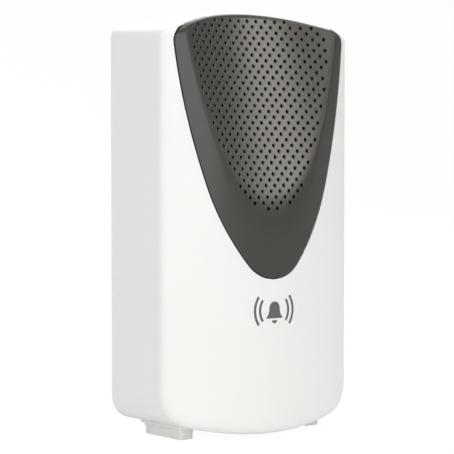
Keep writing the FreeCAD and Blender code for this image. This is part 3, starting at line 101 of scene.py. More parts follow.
# The shield's top edge falls towards its corners
CORNER_FALL = 0.75 * MM
FALL_START = 10 * MM
FALL_LENGTH = 23 * MM

SMOOTH_ANGLE = 35.0


# Plain geometry

def front_y(x, root=math.sqrt):
    """Depth of the bulging front at a distance from the middle."""
    return FRONT + FRONT_RADIUS - root(FRONT_RADIUS**2 - x * x)


def top_z(x, y):
    """Height of the arched top, which falls towards the front."""
    fall = TOP_FALL * (BACK - y) / (BACK - FRONT)
    return TOP - fall - TOP_RADIUS + math.sqrt(TOP_RADIUS**2 - x * x)


def safe_root(value):
    return math.sqrt(max(value, 0.0))


def clamp(value):
    return min(max(value, 0.0), 1.0)


def scoop_y(x, z, behind=0.0, root=safe_root):
    """Depth of the leaning cone that hollows the grille, carried back by an amount."""
    reach = SCOOP_RADIUS * math.cos(SCOOP_LEAN) / math.tan(SCOOP_OPENING)
    apex_y = SIDE_FRONT - SCOOP_DEPTH + behind / math.cos(SCOOP_LEAN) + reach * math.sin(SCOOP_LEAN)
    apex_z = SCOOP_HEIGHT + reach * math.cos(SCOOP_LEAN)
    axis_y, axis_z = math.sin(SCOOP_LEAN + SCOOP_OPENING), math.cos(SCOOP_LEAN + SCOOP_OPENING)
    spread = math.cos(SCOOP_OPENING)**2
    drop = z - apex_z
    a = spread - axis_y**2
    b = drop * axis_y * axis_z
    c = (x * x + drop * drop) * spread - (drop * axis_z)**2
    return apex_y + (b + root(b * b - a * c)) / a


def arc_points(centre, radius, start, end, count):
    """Points, with their directions from the centre, along an arc from one angle to another."""
    found = []
    for n in range(count + 1):
        angle = start + (end - start) * n / count
        way = Vector((math.cos(angle), math.sin(angle)))
        found.append((centre + way * radius, way))
    return found


class Shield:
    """Outline of the shield in the front view: three arcs each side from the tip, then a rounded corner."""

    def __init__(self, grow):
        self.tip = Vector((0, TIP_HEIGHT + TIP_RADIUS))
        turn = (self.tip.y - LOW_HEIGHT) / TIP_RADIUS
        self.tip_radius = TIP_RADIUS + grow
        low_way = Vector((math.sqrt(1 - turn * turn), -turn))
        self.low_centre = self.tip + low_way * (TIP_RADIUS - LOW_RADIUS)
        self.low_radius = LOW_RADIUS + grow
        rise = (MID_HEIGHT - self.low_centre.y) / LOW_RADIUS
        mid_way = Vector((math.sqrt(1 - rise * rise), rise))
        self.side_centre = self.low_centre + mid_way * (LOW_RADIUS - SIDE_RADIUS)
        self.side_radius = SIDE_RADIUS + grow
        up = SHIELD_CORNER_HEIGHT - self.side_centre.y
        reach = SIDE_RADIUS - SHIELD_CORNER
        self.corner = Vector((self.side_centre.x + math.sqrt(reach * reach - up * up), SHIELD_CORNER_HEIGHT))
        self.corner_radius = SHIELD_CORNER + grow
        side_way = (self.corner - self.side_centre).normalized()
        self.low_joint = self.tip + low_way * self.tip_radius
        self.mid_joint = self.low_centre + mid_way * self.low_radius
        self.side_joint = self.side_centre + side_way * self.side_radius
        self.foot = self.tip.y - self.tip_radius
        self.shoulder = self.corner.y + self.corner_radius

    def half_width(self, z):
        """Distance from the middle to the outline at a height."""
        for limit, centre, radius in ((self.low_joint.y, self.tip, self.tip_radius),
                                      (self.mid_joint.y, self.low_centre, self.low_radius),
                                      (self.side_joint.y, self.side_centre, self.side_radius),
                                      (self.shoulder, self.corner, self.corner_radius)):
            if z < limit:
                return centre.x + math.sqrt(max(radius**2 - (z - centre.y)**2, 0.0))
        return self.corner.x


def face_outline(inset=0.0):
    """Points around the case, from the middle of the top to the right and round: where each lies at the back,
    where at the front, and its outward way in the XZ plane."""
    top_steps, corner_steps, side_steps, low_corner_steps, low_steps = 110, 12, 60, 20, 40
    half_width, top_corner = HALF_WIDTH - inset, max(TOP_CORNER - inset, 0.6 * MM)

    def half(fall, low_corner):
        high = Vector((0, TOP - fall - TOP_RADIUS))
        low = Vector((0, UNDERSIDE + BOTTOM_RADIUS))
        high_radius, low_radius = TOP_RADIUS - inset, BOTTOM_RADIUS - inset
        right_high = half_width - top_corner
        right_low = half_width - low_corner
        corner_top = high + Vector((right_high, math.sqrt((high_radius - top_corner)**2 - right_high**2)))
        corner_low = low + Vector((right_low, -math.sqrt((low_radius - low_corner)**2 - right_low**2)))
        top_angle = math.atan2(corner_top.y - high.y, corner_top.x)
        low_angle = math.atan2(corner_low.y - low.y, corner_low.x)
        points = arc_points(high, high_radius, math.pi / 2, top_angle, top_steps)
        points += arc_points(corner_top, top_corner, top_angle, 0, corner_steps)[1:]
        for n in range(1, side_steps):
            height = corner_top.y + (corner_low.y - corner_top.y) * n / side_steps
            points.append((Vector((half_width, height)), Vector((1, 0))))
        points += arc_points(corner_low, low_corner, 0, low_angle, low_corner_steps)
        points += arc_points(low, low_radius, low_angle, -math.pi / 2, low_steps)[1:]
        return points

    def flip(v):
        return Vector((-v.x, v.y))
    at_back, at_front = half(0.0, BACK_CORNER - inset), half(TOP_FALL, FRONT_CORNER - inset)
    right = [(b[0], f[0], f[1]) for b, f in zip(at_back, at_front)]
    left = [(flip(b), flip(f), flip(w)) for b, f, w in reversed(right[1:-1])]
    return right + left


# Mesh building

def make_object(name, verts, faces, smooth_angle=SMOOTH_ANGLE):
    """A mesh as an object of the scene, without doubles, slivers and loose edges, its normals outwards."""
    mesh = bpy.data.meshes.new(name)
    mesh.from_pydata([tuple(v) for v in verts], [], faces)
    mesh.validate()
    shape = bmesh.new()
    shape.from_mesh(mesh)
    bmesh.ops.remove_doubles(shape, verts=shape.verts, dist=2e-6)
    bmesh.ops.dissolve_degenerate(shape, edges=shape.edges, dist=1e-6)
    bmesh.ops.delete(shape, geom=[edge for edge in shape.edges if not edge.link_faces], context="EDGES")
    bmesh.ops.recalc_face_normals(shape, faces=shape.faces)
    shape.to_mesh(mesh)
    shape.free()
    smooth(mesh, smooth_angle)
    piece = bpy.data.objects.new(name, mesh)
    bpy.context.scene.collection.objects.link(piece)
    return piece


def smooth(mesh, angle=SMOOTH_ANGLE):
    mesh.shade_smooth()
    mesh.set_sharp_from_angle(angle=math.radians(angle))


def grid_faces(columns, rows, close_columns=False, close_rows=False):
    """Quads of a grid of vertices stored column by column."""
    faces = []
    for c in range(columns if close_columns else columns - 1):
        for r in range(rows if close_rows else rows - 1):
            nc, nr = (c + 1) % columns, (r + 1) % rows
            faces.append((c * rows + r, c * rows + nr, nc * rows + nr, nc * rows + r))
    return faces


def freeze(piece):
    """Turn a piece and its modifiers into a plain mesh."""
    bpy.context.view_layer.update()
    evaluated = piece.evaluated_get(bpy.context.evaluated_depsgraph_get())
    mesh = bpy.data.meshes.new_from_object(evaluated)
    piece.modifiers.clear()
    old = piece.data
    piece.data = mesh
    bpy.data.meshes.remove(old)


def combine(piece, operation, *tools):
    """Add tools to a piece or take them out of it. Each tool is used up."""
    for tool in tools:
        modifier = piece.modifiers.new("Combine", "BOOLEAN")
        modifier.operation = operation
        modifier.solver = "MANIFOLD"
        modifier.object = tool
        freeze(piece)
        bpy.data.objects.remove(tool)


def block(name, low, high):
    x, y, z = zip(low, high)
    verts = [(a, b, c) for a in x for b in y for c in z]
    faces = [(0, 1, 3, 2), (4, 6, 7, 5), (0, 4, 5, 1), (2, 3, 7, 6), (0, 2, 6, 4), (1, 5, 7, 3)]
    return make_object(name, verts, faces)


def bar(name, centre, radius, start, end, sides=48):
    """Round bar along X between two planes, round a centre in Y and Z."""
    turns = [2 * math.pi * n / sides for n in range(sides)]
    verts = [(x, centre[0] + radius * math.cos(turn), centre[1] + radius * math.sin(turn))
             for x in (start, end) for turn in turns]
    faces = [tuple(range(sides)), tuple(range(sides, 2 * sides))]
    faces += [(n, (n + 1) % sides, sides + (n + 1) % sides, sides + n) for n in range(sides)]
    return make_object(name, verts, faces)


# Case: one closed skin with an inside, from which the shield's opening is cut

def edge_ball(fore, way, rounding):
    """The ball that rounds the front edge: the depth of its centre, how far in from the wall it touches the
    front, and the angle at which it does."""
    inset = rounding
    for _ in range(3):
        x = fore.x - way.x * inset
        slope = -way.x * x / math.sqrt(FRONT_RADIUS**2 - x * x)
        inset = rounding + rounding * slope / math.hypot(1, slope)
    centre = front_y(fore.x - way.x * inset) + rounding / math.hypot(1, slope)
    return centre, inset, math.atan2(1, slope)


def profile_points(back, fore, way, rounding, lip):
    """The way from the case's rear edge over the side and the rounded edge to the front, as 3D points."""
    centre, _, stop = edge_ball(fore, way, rounding)

    def place(d, y):
        share = (BACK - y) / (BACK - FRONT)
        flat = back.lerp(fore, share) - way * d
        return Vector((flat.x, y, flat.y))
    lip_steps, side_steps, edge_steps = 4, 60, 14
    points = []
    for n in range(lip_steps + 1):
        angle = math.pi / 2 * n / lip_steps
        points.append(place(lip - lip * math.sin(angle), BACK - lip + lip * math.cos(angle)))
    for n in range(1, side_steps + 1):
        points.append(place(0.0, BACK - lip + (centre - BACK + lip) * n / side_steps))
    for n in range(1, edge_steps + 1):
        angle = math.pi + (stop - math.pi) * n / edge_steps
        points.append(place(rounding + rounding * math.cos(angle), centre - rounding * math.sin(angle)))
    return points


def build_case(rounding, groove, lip):
    """The whole case with a closed front, which the opening is then cut from. Its columns run from the rear
    edge over the outside to a hub in the middle of the front, and back along the inside."""
    hub = Vector((0, 100 * MM))
    side_rows, face_rows = 60, 30
    inner_end = BACK - 1.6 * MM
    columns = []
    for (back, fore, way), (inner_back, inner_fore, _) in zip(face_outline(), face_outline(WALL)):
        column = resample(profile_points(back, fore, way, rounding, lip), side_rows)
        start = column[-1]
        for k in range(1, face_rows + 1):
            x, z = start.x * (1 - k / face_rows), start.z + (hub.y - start.z) * k / face_rows
            column.append(Vector((x, front_y(x), z)))
        column.append(Vector((0, FRONT + WALL, hub.y)))
        column.append(Vector((inner_fore.x, front_y(inner_fore.x) + WALL, inner_fore.y)))
        column.append(Vector((inner_back.x, inner_end, inner_back.y)))
        column.append(Vector((inner_back.x, BACK, inner_back.y)))
        columns.append(column)
    rows = len(columns[0])
    verts = [point for column in columns for point in column]
    faces = grid_faces(len(columns), rows, close_columns=True, close_rows=True)
    case = make_object("case_front", verts, faces)
    combine(case, "DIFFERENCE", *build_openings(groove, rounding))
    return case


def build_openings(groove, rounding):
    """What the case leaves free for the shield, and the way out over its top edge."""
    opening_front, opening_gap = -40 * MM, 0.3 * MM
    crown_front, crown_gap, crown_reach, crown_foot = -41 * MM, 0.45 * MM, 32.6 * MM, 139.3 * MM
    crown_rows, crown_half = 22, 50

    def depth(x, z):
        return max(SHELF, scoop_y(x, z, GRILLE_THICKNESS + opening_gap))
    grid = shield_grid(groove, rounding, rows_low=110, rows_high=30, width=80)
    opening = slab("opening", [[Vector((x, opening_front, z)) for x, z in column] for column in grid], depth)

    def crown_depth(x, z):
        face = grille_y(x, min(z, shield_top(x, rounding)), rounding, CREASE)
        return face + GRILLE_DEPTH + crown_gap
    columns = [[Vector((n / crown_half * crown_reach, crown_front, crown_foot + k * MM))
                for k in range(crown_rows)] for n in range(-crown_half, crown_half + 1)]
    return opening, slab("crown", columns, crown_depth)


def resample(points, count):
    """The same polyline with a set number of points, denser where it bends."""
    straight_weight, bend_weight = 0.35, 2.2 * MM
    lengths = [0.0]
    for n in range(1, len(points)):
        step = (points[n] - points[n - 1]).length
        bend = 0.0
        if n < len(points) - 1:
            first, second = points[n] - points[n - 1], points[n + 1] - points[n]
            if first.length > 0 and second.length > 0:
                bend = first.angle(second) * bend_weight
        lengths.append(lengths[-1] + step * straight_weight + bend)
    result = []
    m = 0
    for k in range(count):
        goal = lengths[-1] * k / (count - 1)
        while m < len(lengths) - 2 and lengths[m + 1] < goal:
            m += 1
        span = lengths[m + 1] - lengths[m]
        share = (goal - lengths[m]) / span if span > 0 else 0.0
        result.append(points[m].lerp(points[m + 1], clamp(share)))
    return result


def build_foot(side, spacing, width):
    """A foot that flares on all sides into the case's underside."""
    flare, length, ease, setback, sharpest = 2.0 * MM, 21.4 * MM, 0.35 * MM, 1.5 * MM, 0.9 * MM
    side_flare, corner_growth = 0.6, 0.5
    ease_steps, flare_steps, corner_steps = 4, 8, 5
    x = spacing / 2
    middle = SIDE_FRONT + setback + length / 2
    root = UNDERSIDE + BOTTOM_RADIUS - math.sqrt(BOTTOM_RADIUS**2 - x * x)
    levels = [(ease - ease * math.sin(a), ease * math.cos(a) - ease)
              for a in [math.pi / 2 * (ease_steps - n) / ease_steps for n in range(ease_steps + 1)]]
    levels += [(root - flare + flare * math.sin(a), flare - flare * math.cos(a))
               for a in [math.pi / 2 * n / flare_steps for n in range(flare_steps + 1)]]
    levels.append((root + WALL / 2, flare))
    verts = []
    for z, grow in levels:
        half_x, half_y = width / 2 + grow * side_flare, length / 2 + grow
        corner = sharpest + max(grow, 0.0) * corner_growth
        for n, (turn_x, turn_y) in enumerate(((1, 1), (-1, 1), (-1, -1), (1, -1))):
            for k in range(corner_steps + 1):
                angle = math.pi / 2 * (n + k / corner_steps)
                verts.append((side * x + turn_x * (half_x - corner) + corner * math.cos(angle),
                              middle + turn_y * (half_y - corner) + corner * math.sin(angle), z))
    around = 4 * (corner_steps + 1)
    faces = grid_faces(len(levels), around, close_rows=True)
    faces += [tuple(range(around)), tuple(range(len(verts) - around, len(verts)))]
    return make_object("foot", verts, faces)


# Shield shaped grille

def soft_max(a, b, blend):
    """The larger of two depths, with the corner between them rounded off."""
    gap = max(blend - abs(a - b), 0.0) / blend
    return max(a, b) + gap**3 * blend / 6


def grille_y(x, z, rounding, crease):
    """Depth of the shield's face: the case's own front with its rounded top edge, hollowed by the dish, whose
    lower end runs out softly."""
    softening = 2.2
    plain = front_y(x)
    hub = Vector((0, top_z(0, plain) - TOP_RADIUS))
    way = Vector((x, z)) - hub
    depth_in = max(TOP_RADIUS - way.length, 0.0)
    way.normalize()
    centre, inset, _ = edge_ball(hub + way * TOP_RADIUS, way, rounding)
    outer = plain
    if depth_in < inset:
        outer = centre - safe_root(rounding**2 - (rounding - depth_in)**2)
    scoop = scoop_y(x, z)
    run_out = clamp((RUN_OUT_HEIGHT - z) / RUN_OUT_LENGTH)
    face = soft_max(outer, scoop, crease * (1 + softening * run_out))
    lip = rounding * 0.5
    depth_in = max((top_z(x, face) - z) * way.y, 0.0)
    if depth_in < lip:
        share = clamp((scoop - plain) / MM)
        face += share * (lip - safe_root(lip**2 - (lip - depth_in)**2))
    return face


def slab(name, columns, depth, shrink=1.0):
    """Closed plate from a grid of front points, stored column by column, with its back a set depth behind or
    at the depth that a function gives."""
    rows = len(columns[0])
    front = [point for column in columns for point in column]
    behind = [depth(p.x, p.z) if callable(depth) else p.y + depth for p in front]
    verts = front + [Vector((p.x * shrink, y, p.z)) for p, y in zip(front, behind)]
    back = len(front)
    faces = grid_faces(len(columns), rows)
    faces += [tuple(reversed([v + back for v in face])) for face in faces]
    last = (len(columns) - 1) * rows
    rim = [c * rows for c in range(len(columns))] + [last + r for r in range(1, rows)]
    rim += [c * rows + rows - 1 for c in range(len(columns) - 2, -1, -1)] + list(range(rows - 2, 0, -1))
    faces += [(a, b, b + back, a + back) for a, b in zip(rim, rim[1:] + rim[:1])]
    return make_object(name, verts, faces)


def shield_top(x, rounding):
    """Height of the shield's top edge: the case's own top, a little lower towards the corners. The top falls
    with the face's depth, and the depth changes with the height, so a few rounds settle both."""
    height = TOP - 6 * MM
    for _ in range(5):
        height = top_z(x, grille_y(x, height, rounding, CREASE))
    share = clamp((abs(x) - FALL_START) / FALL_LENGTH)
    return height - CORNER_FALL * share * share * (3 - 2 * share)


def shield_grid(grow, rounding, rows_low, rows_high, width):
    """Points of the front view in columns, that fill the shield's outline up to its top edge. They crowd
    towards its sides and its tip."""
    crowd_sides, crowd_tip = 0.9, 1.12
    outline = Shield(grow)
    corner_top = shield_top(outline.corner.x, rounding) + grow
    columns = []
    for c in range(width + 1):
        u = 2 * c / width - 1
        u = math.copysign(abs(u)**crowd_sides, u) if u else 0.0
        lift = shield_top(u * outline.corner.x, rounding) + grow - corner_top
        column = []
        for r in range(rows_low + 1):
            share = r / rows_low
            z = outline.foot + (SHIELD_CORNER_HEIGHT - outline.foot) * share**crowd_tip
            column.append((u * outline.half_width(max(z, outline.foot + 1e-6)), z + lift * share**3))
        for r in range(1, rows_high + 1):
            s = math.sin(math.pi / 2 * r / rows_high)
            x = u * (outline.corner.x + outline.corner_radius * math.sqrt(1 - s * s))
            column.append((x, SHIELD_CORNER_HEIGHT + (corner_top - SHIELD_CORNER_HEIGHT) * s + lift))
        columns.append(column)
    return columns


def build_grille(rounding, crease, edge_soft):
    """The shield without its holes. Its narrow sides, not the top edge, have the hole walls' painted shade."""
    columns = [[Vector((x, grille_y(x, z, rounding, crease), z)) for x, z in column]
               for column in shield_grid(0.0, rounding, rows_low=140, rows_high=36, width=110)]
    shell = slab("grille", columns, GRILLE_DEPTH, shrink=0.999)
    shell.data.materials.append(finish("dark_grille"))
    shell.data.materials.append(finish("hole_wall"))
    # The narrow sides take the hole walls' finish so that they render black: painted shade for the groove round
    # the shield
    for face in shell.data.polygons:
        if abs(face.normal.y) < 0.5 and (face.normal.z < 0.6 or abs(face.normal.x) > 0.5):
            face.material_index = 1
    bevel = shell.modifiers.new("Round", "BEVEL")
    bevel.width = edge_soft
    bevel.segments = 3
    bevel.limit_method = "ANGLE"
    bevel.angle_limit = math.radians(40)
    bevel.material = 0
    return shell


def build_sign(height):
    """A small bell with two waves each side, printed on the front."""
    raised, thickness = 0.025 * MM, 0.12 * MM
    shoulder, dome, flare, skirt, flare_power = 1.2 * MM, 2.3 * MM, 1.5 * MM, 3.6 * MM, 2.4
    bell_foot, bell_height, narrowest = -2.4 * MM, 5.88 * MM, 0.05 * MM
    clapper_height, clapper_radius = -3.05 * MM, 1.15 * MM
    wave_height, wave_radii, wave_step, wave_end = 0.4 * MM, (5.8 * MM, 7.9 * MM), 0.24 * MM, 36

    def plate(outline_points):
        return slab("sign", [[Vector((x, front_y(x) - raised, height + z)) for x, z in column]
                             for column in outline_points], thickness)

    def bell_half(z):
        if z > shoulder:
            return dome * safe_root(1 - ((z - shoulder) / dome)**2)
        return dome + flare * ((shoulder - z) / skirt)**flare_power

    def arc(centre_z, radii, side, first, last, steps=24):
        """Columns of points on rings round a centre, one for each step of the turn."""
        turns = [math.radians(first + (last - first) * n / steps) for n in range(steps + 1)]
        return [[(radius * side * math.cos(turn), centre_z + radius * math.sin(turn)) for radius in radii]
                for turn in turns]
    heights = [bell_foot + bell_height * math.sin(math.pi / 2 * n / 30) for n in range(31)]
    pieces = [plate([[(u / 8 * max(bell_half(z), narrowest), z) for z in heights] for u in range(-8, 9)])]
    pieces.append(plate(arc(clapper_height, [clapper_radius * k / 6 for k in range(1, 7)], 1, 180, 360)))
    for side in (1, -1):
        for radius in wave_radii:
            rings = [radius + k * wave_step for k in range(5)]
            pieces.append(plate(arc(wave_height, rings, side, -wave_end, wave_end)))
    return join("sign", pieces)


def join(name, pieces):
    """One mesh out of several that lie apart."""
    shape = bmesh.new()
    for piece in pieces:
        shape.from_mesh(piece.data)
        bpy.data.objects.remove(piece)
    mesh = bpy.data.meshes.new(name)
    shape.to_mesh(mesh)
    shape.free()
    joined = bpy.data.objects.new(name, mesh)
    bpy.context.scene.collection.objects.link(joined)
    smooth(mesh)
    return joined


# Nodes

class Wire:
    """A node socket that adds Math nodes when it is used in an expression."""

    def __init__(self, tree, socket):
        self.tree, self.socket = tree, socket

    def _math(self, operation, *values):
        return add_node(self.tree, "ShaderNodeMath", {"operation": operation}, dict(enumerate(values)))[0]

    def __add__(self, other):
        return self._math("ADD", self, other)

    def __radd__(self, other):
        return self._math("ADD", other, self)

    def __sub__(self, other):
        return self._math("SUBTRACT", self, other)

    def __rsub__(self, other):
        return self._math("SUBTRACT", other, self)

    def __mul__(self, other):
        return self._math("MULTIPLY", self, other)

    def __rmul__(self, other):
        return self._math("MULTIPLY", other, self)

    def __truediv__(self, other):
        return self._math("DIVIDE", self, other)

    def __rtruediv__(self, other):
        return self._math("DIVIDE", other, self)

    def __pow__(self, other):
        return self._math("POWER", self, other)

    def __rpow__(self, other):
        return self._math("POWER", other, self)

    def __lt__(self, other):
        return self._math("LESS_THAN", self, other)

    def __gt__(self, other):
        return self._math("GREATER_THAN", self, other)

    def __abs__(self):
        return self._math("ABSOLUTE", self)

    def above(self, least):
        return self._math("MAXIMUM", self, least)

    def below(self, most):
        return self._math("MINIMUM", self, most)

    def root(self):
        return self._math("SQRT", self)


def add_node(tree, kind, settings=None, values=None):
    """Make a node: its settings first, then the values or links of its sockets. Gives its outputs as wires.
    A socket that takes several links gets a list of wires."""
    node = tree.nodes.new(kind)
    for name, setting in (settings or {}).items():
        setattr(node, name, setting)
    for key, value in (values or {}).items():
        socket = node.inputs[key]
        if isinstance(value, Wire):
            tree.links.new(value.socket, socket)
        elif isinstance(value, list):
            for wire in value:
                tree.links.new(wire.socket, socket)
        else:
            socket.default_value = value
    return [Wire(tree, s) for s in node.outputs if s.enabled]


def perforation_tree(wall_material, rim_material):
    """Geometry Nodes: round pins on a staggered field, taken out of the dish, and a cone at each mouth."""
    columns, rows, sides = 20, 30, 20
    pin_middle, pin_length, cone_share = -30 * MM, 60 * MM, 3
    slack, ray_start, ray_length = 1e-6, -10 * MM, 100 * MM
    tree = bpy.data.node_groups.new("Perforated dish", "GeometryNodeTree")
    face = tree.interface
    face.new_socket("Geometry", in_out="INPUT", socket_type="NodeSocketGeometry")
    sizes = {"Pitch X": 1.938 * MM, "Pitch Z": 2.0 * MM, "Hole Diameter": 1.4 * MM,
             "Start Height": SCOOP_HEIGHT, "Foot Height": 79.6 * MM, "Middle Height": 122.4 * MM,
             "Middle Reach": 27.2 * MM, "Reach Limit": 30.4 * MM, "Power": 0.4234, "Top Margin": 2.2 * MM,
             "Rim Width": 0.15 * MM}
    for name, size in sizes.items():
        face.new_socket(name, in_out="INPUT", socket_type="NodeSocketFloat").default_value = size
    face.new_socket("Geometry", in_out="OUTPUT", socket_type="NodeSocketGeometry")
    entry = add_node(tree, "NodeGroupInput")
    dish = entry[0]
    pitch_x, pitch_z, diameter, start, foot, middle, reach, limit, power, margin, rim = entry[1:12]
    fields = []
    for shift in (0, 1):
        lattice = add_node(tree, "GeometryNodeMeshGrid", None,
                           {"Size X": pitch_x * (2 * columns), "Size Y": pitch_z * (2 * rows),
                            "Vertices X": columns + 1, "Vertices Y": rows + 1})
        offset = add_node(tree, "ShaderNodeCombineXYZ", None,
                          {"X": pitch_x * shift, "Y": pin_middle, "Z": start + pitch_z * shift})
        fields.append(add_node(tree, "GeometryNodeTransform", None,
                               {"Geometry": lattice[0], "Translation": offset[0],
                                "Rotation": (math.pi / 2, 0, 0)})[0])
    points = add_node(tree, "GeometryNodeJoinGeometry", None, {"Geometry": fields})[0]
    where = add_node(tree, "GeometryNodeInputPosition")
    axes = add_node(tree, "ShaderNodeSeparateXYZ", None, {0: where[0]})
    across, height = abs(axes[0]), axes[2]
    share = ((height - foot).above(0.0) / (middle - foot)) ** power
    width = (share * reach).below(limit)
    arch = (TOP_RADIUS**2 - across * across).root() + (TOP - TOP_RADIUS) - margin
    outside = (across > width + slack) + (height > arch) + (height < foot + 10 * slack)
    kept = add_node(tree, "GeometryNodeDeleteGeometry", {"domain": "POINT"},
                    {"Geometry": points, "Selection": outside > 0.5})[0]
    pin = add_node(tree, "GeometryNodeMeshCylinder", None,
                   {"Vertices": sides, "Radius": diameter / 2, "Depth": pin_length})[0]
    pin = add_node(tree, "GeometryNodeSetMaterial", None, {"Geometry": pin, "Material": wall_material})[0]
    placed = add_node(tree, "GeometryNodeInstanceOnPoints", None,
                      {"Points": kept, "Instance": pin, "Rotation": (math.pi / 2, 0, 0)})[0]
    pins = add_node(tree, "GeometryNodeRealizeInstances", None, {"Geometry": placed})[0]
    pierced = add_node(tree, "GeometryNodeMeshBoolean", {"operation": "DIFFERENCE", "solver": "MANIFOLD"},
                       {"Mesh 1": dish, "Mesh 2": [pins]})[0]
    before = add_node(tree, "ShaderNodeVectorMath", {"operation": "ADD"},
                      {0: where[0], 1: (0, ray_start, 0)})[0]
    hit = add_node(tree, "GeometryNodeRaycast", None,
                   {"Target Geometry": dish, "Source Position": before, "Ray Direction": (0, 1, 0),
                    "Ray Length": ray_length})
    lean = add_node(tree, "FunctionNodeAlignRotationToVector", {"axis": "Z"}, {"Vector": hit[2]})[0]
    mouths = add_node(tree, "GeometryNodeSetPosition", None, {"Geometry": kept, "Position": hit[1]})[0]
    cone = add_node(tree, "GeometryNodeMeshCone", None,
                    {"Vertices": sides, "Radius Top": diameter / 2 + rim * cone_share,
                     "Radius Bottom": diameter / 2, "Depth": rim * cone_share})[0]
    sink = add_node(tree, "ShaderNodeCombineXYZ", None, {"Z": rim * -1.0})
    cone = add_node(tree, "GeometryNodeTransform", None, {"Geometry": cone, "Translation": sink[0]})[0]
    cone = add_node(tree, "GeometryNodeSetMaterial", None, {"Geometry": cone, "Material": rim_material})[0]
    cones = add_node(tree, "GeometryNodeInstanceOnPoints", None,
                     {"Points": mouths, "Instance": cone, "Rotation": lean})[0]
    cones = add_node(tree, "GeometryNodeRealizeInstances", None, {"Geometry": cones})[0]
    rimmed = add_node(tree, "GeometryNodeMeshBoolean", {"operation": "DIFFERENCE", "solver": "MANIFOLD"},
                      {"Mesh 1": pierced, "Mesh 2": [cones]})[0]
    whole = add_node(tree, "GeometryNodeRealizeInstances", None, {"Geometry": rimmed})[0]
    # The hole walls keep the hole-wall finish, with its painted highlight near the mouth and black painted shade
    # further in
    walls = add_node(tree, "GeometryNodeMaterialSelection", None, {"Material": wall_material})[0]
    painted = add_node(tree, "GeometryNodeSetMaterial", None,
                       {"Geometry": whole, "Selection": walls, "Material": wall_material})[0]
    add_node(tree, "NodeGroupOutput", None, {0: painted})
    return tree


# Materials

def new_material(name):
    material = bpy.data.materials.new(name)
    material.use_nodes = True
    tree = material.node_tree
    tree.nodes.clear()
    return material, tree


def scaled(colour, share):
    return tuple(c * share for c in colour)


def finish_material(tree, **values):
    """A Principled shader with these values: an underscore in a name stands for a space."""
    bsdf = add_node(tree, "ShaderNodeBsdfPrincipled", None,
                    {k.replace("_", " "): v for k, v in values.items()})
    add_node(tree, "ShaderNodeOutputMaterial", None, {0: bsdf[0]})


def object_points(tree):
    """Object coordinates, the same for every piece, since each one sits at the origin."""
    node = tree.nodes.new("ShaderNodeTexCoord")
    return Wire(tree, node.outputs["Object"])


def grain(tree, place, scale, detail, roughness=0.5):
    outputs = add_node(tree, "ShaderNodeTexNoise", None,
                       {"Vector": place, "Scale": scale, "Detail": detail, "Roughness": roughness})
    return outputs[0]


def blend_colours(tree, factor, first, second):
    """A Mix of two colours, each plain or a wire."""
    colour_a, colour_b = 6, 7
    first, second = [c if isinstance(c, Wire) else (*c, 1) for c in (first, second)]
    return add_node(tree, "ShaderNodeMix", {"data_type": "RGBA"},
                    {"Factor": factor, colour_a: first, colour_b: second})[0]


def bump(tree, height, strength, distance):
    return add_node(tree, "ShaderNodeBump", None,
                    {"Height": height, "Strength": strength, "Distance": distance})[0]


def moulded(name, colour, shade, roughness, texture_scale, texture_depth):
    """Moulded plastic: a fine spark-eroded grain, faint flow marks and slightly uneven gloss."""
    material, tree = new_material(name)
    place = object_points(tree)
    flow = grain(tree, place, 28.0, 2.0)
    fine = grain(tree, place, texture_scale, 2.0, 0.6)
    tone = blend_colours(tree, flow, colour, shade)
    gloss = (fine - 0.5) * 0.10 + (flow - 0.5) * 0.06 + roughness
    finish_material(tree, Base_Color=tone, Roughness=gloss, Normal=bump(tree, fine, 0.35, texture_depth))
    return material


def lacquer(name, border_colour, dish_colour):
    """Satin plastic on the shield's border, with a metal lacquer in its dish."""
    shallow, fade = 0.2 * MM, 1.3 * MM
    material, tree = new_material(name)
    place = object_points(tree)
    axes = add_node(tree, "ShaderNodeSeparateXYZ", None, {0: place})
    hollow = scoop_y(axes[0], axes[2], root=Wire.root) - front_y(axes[0], root=Wire.root)
    dish = ((hollow - shallow) / fade).above(0.0).below(1.0)
    flow = grain(tree, place, 28.0, 2.0)
    fine = grain(tree, place, 2400.0, 2.0, 0.6)
    speckle = grain(tree, place, 5200.0, 1.0, 0.5)
    border = blend_colours(tree, flow, border_colour, scaled(border_colour, 1.12))
    paint = blend_colours(tree, speckle, scaled(dish_colour, 0.9), scaled(dish_colour, 1.1))
    gloss = (fine - 0.5) * 0.08 + (flow - 0.5) * 0.05 + 0.33
    finish_material(tree, Base_Color=blend_colours(tree, dish, border, paint), Metallic=dish * 0.75,
                    Roughness=gloss, Normal=bump(tree, fine, 0.3, 0.000012))
    return material


def bore(name, painted_highlight_colour):
    """Walls of the holes: a painted highlight near the mouth and black painted shade further in."""
    # Depth of the painted highlight near the mouth, the length of its fade, and the black of the painted shade
    # deeper in
    painted_highlight_depth, fade, painted_shade_black = 0.55 * MM, 0.12 * MM, (0.004, 0.004, 0.004)
    material, tree = new_material(name)
    place = object_points(tree)
    axes = add_node(tree, "ShaderNodeSeparateXYZ", None, {0: place})
    # How far in from the dish's face: past the painted highlight's depth the wall fades to black painted shade
    deep = (axes[1] - scoop_y(axes[0], axes[2], root=Wire.root) - painted_highlight_depth) / fade
    shade = deep.above(0.0).below(1.0)
    fine = grain(tree, place, 2400.0, 2.0, 0.6)
    # Colour of the painted highlight near the mouth, with a fine grain
    grainy_painted_highlight = blend_colours(tree, fine, painted_highlight_colour, scaled(painted_highlight_colour, 1.2))
    finish_material(tree, Base_Color=blend_colours(tree, shade, grainy_painted_highlight, painted_shade_black),
                    Roughness=shade * 0.4 + 0.45, Normal=bump(tree, fine, 0.2, 0.00001))
    return material


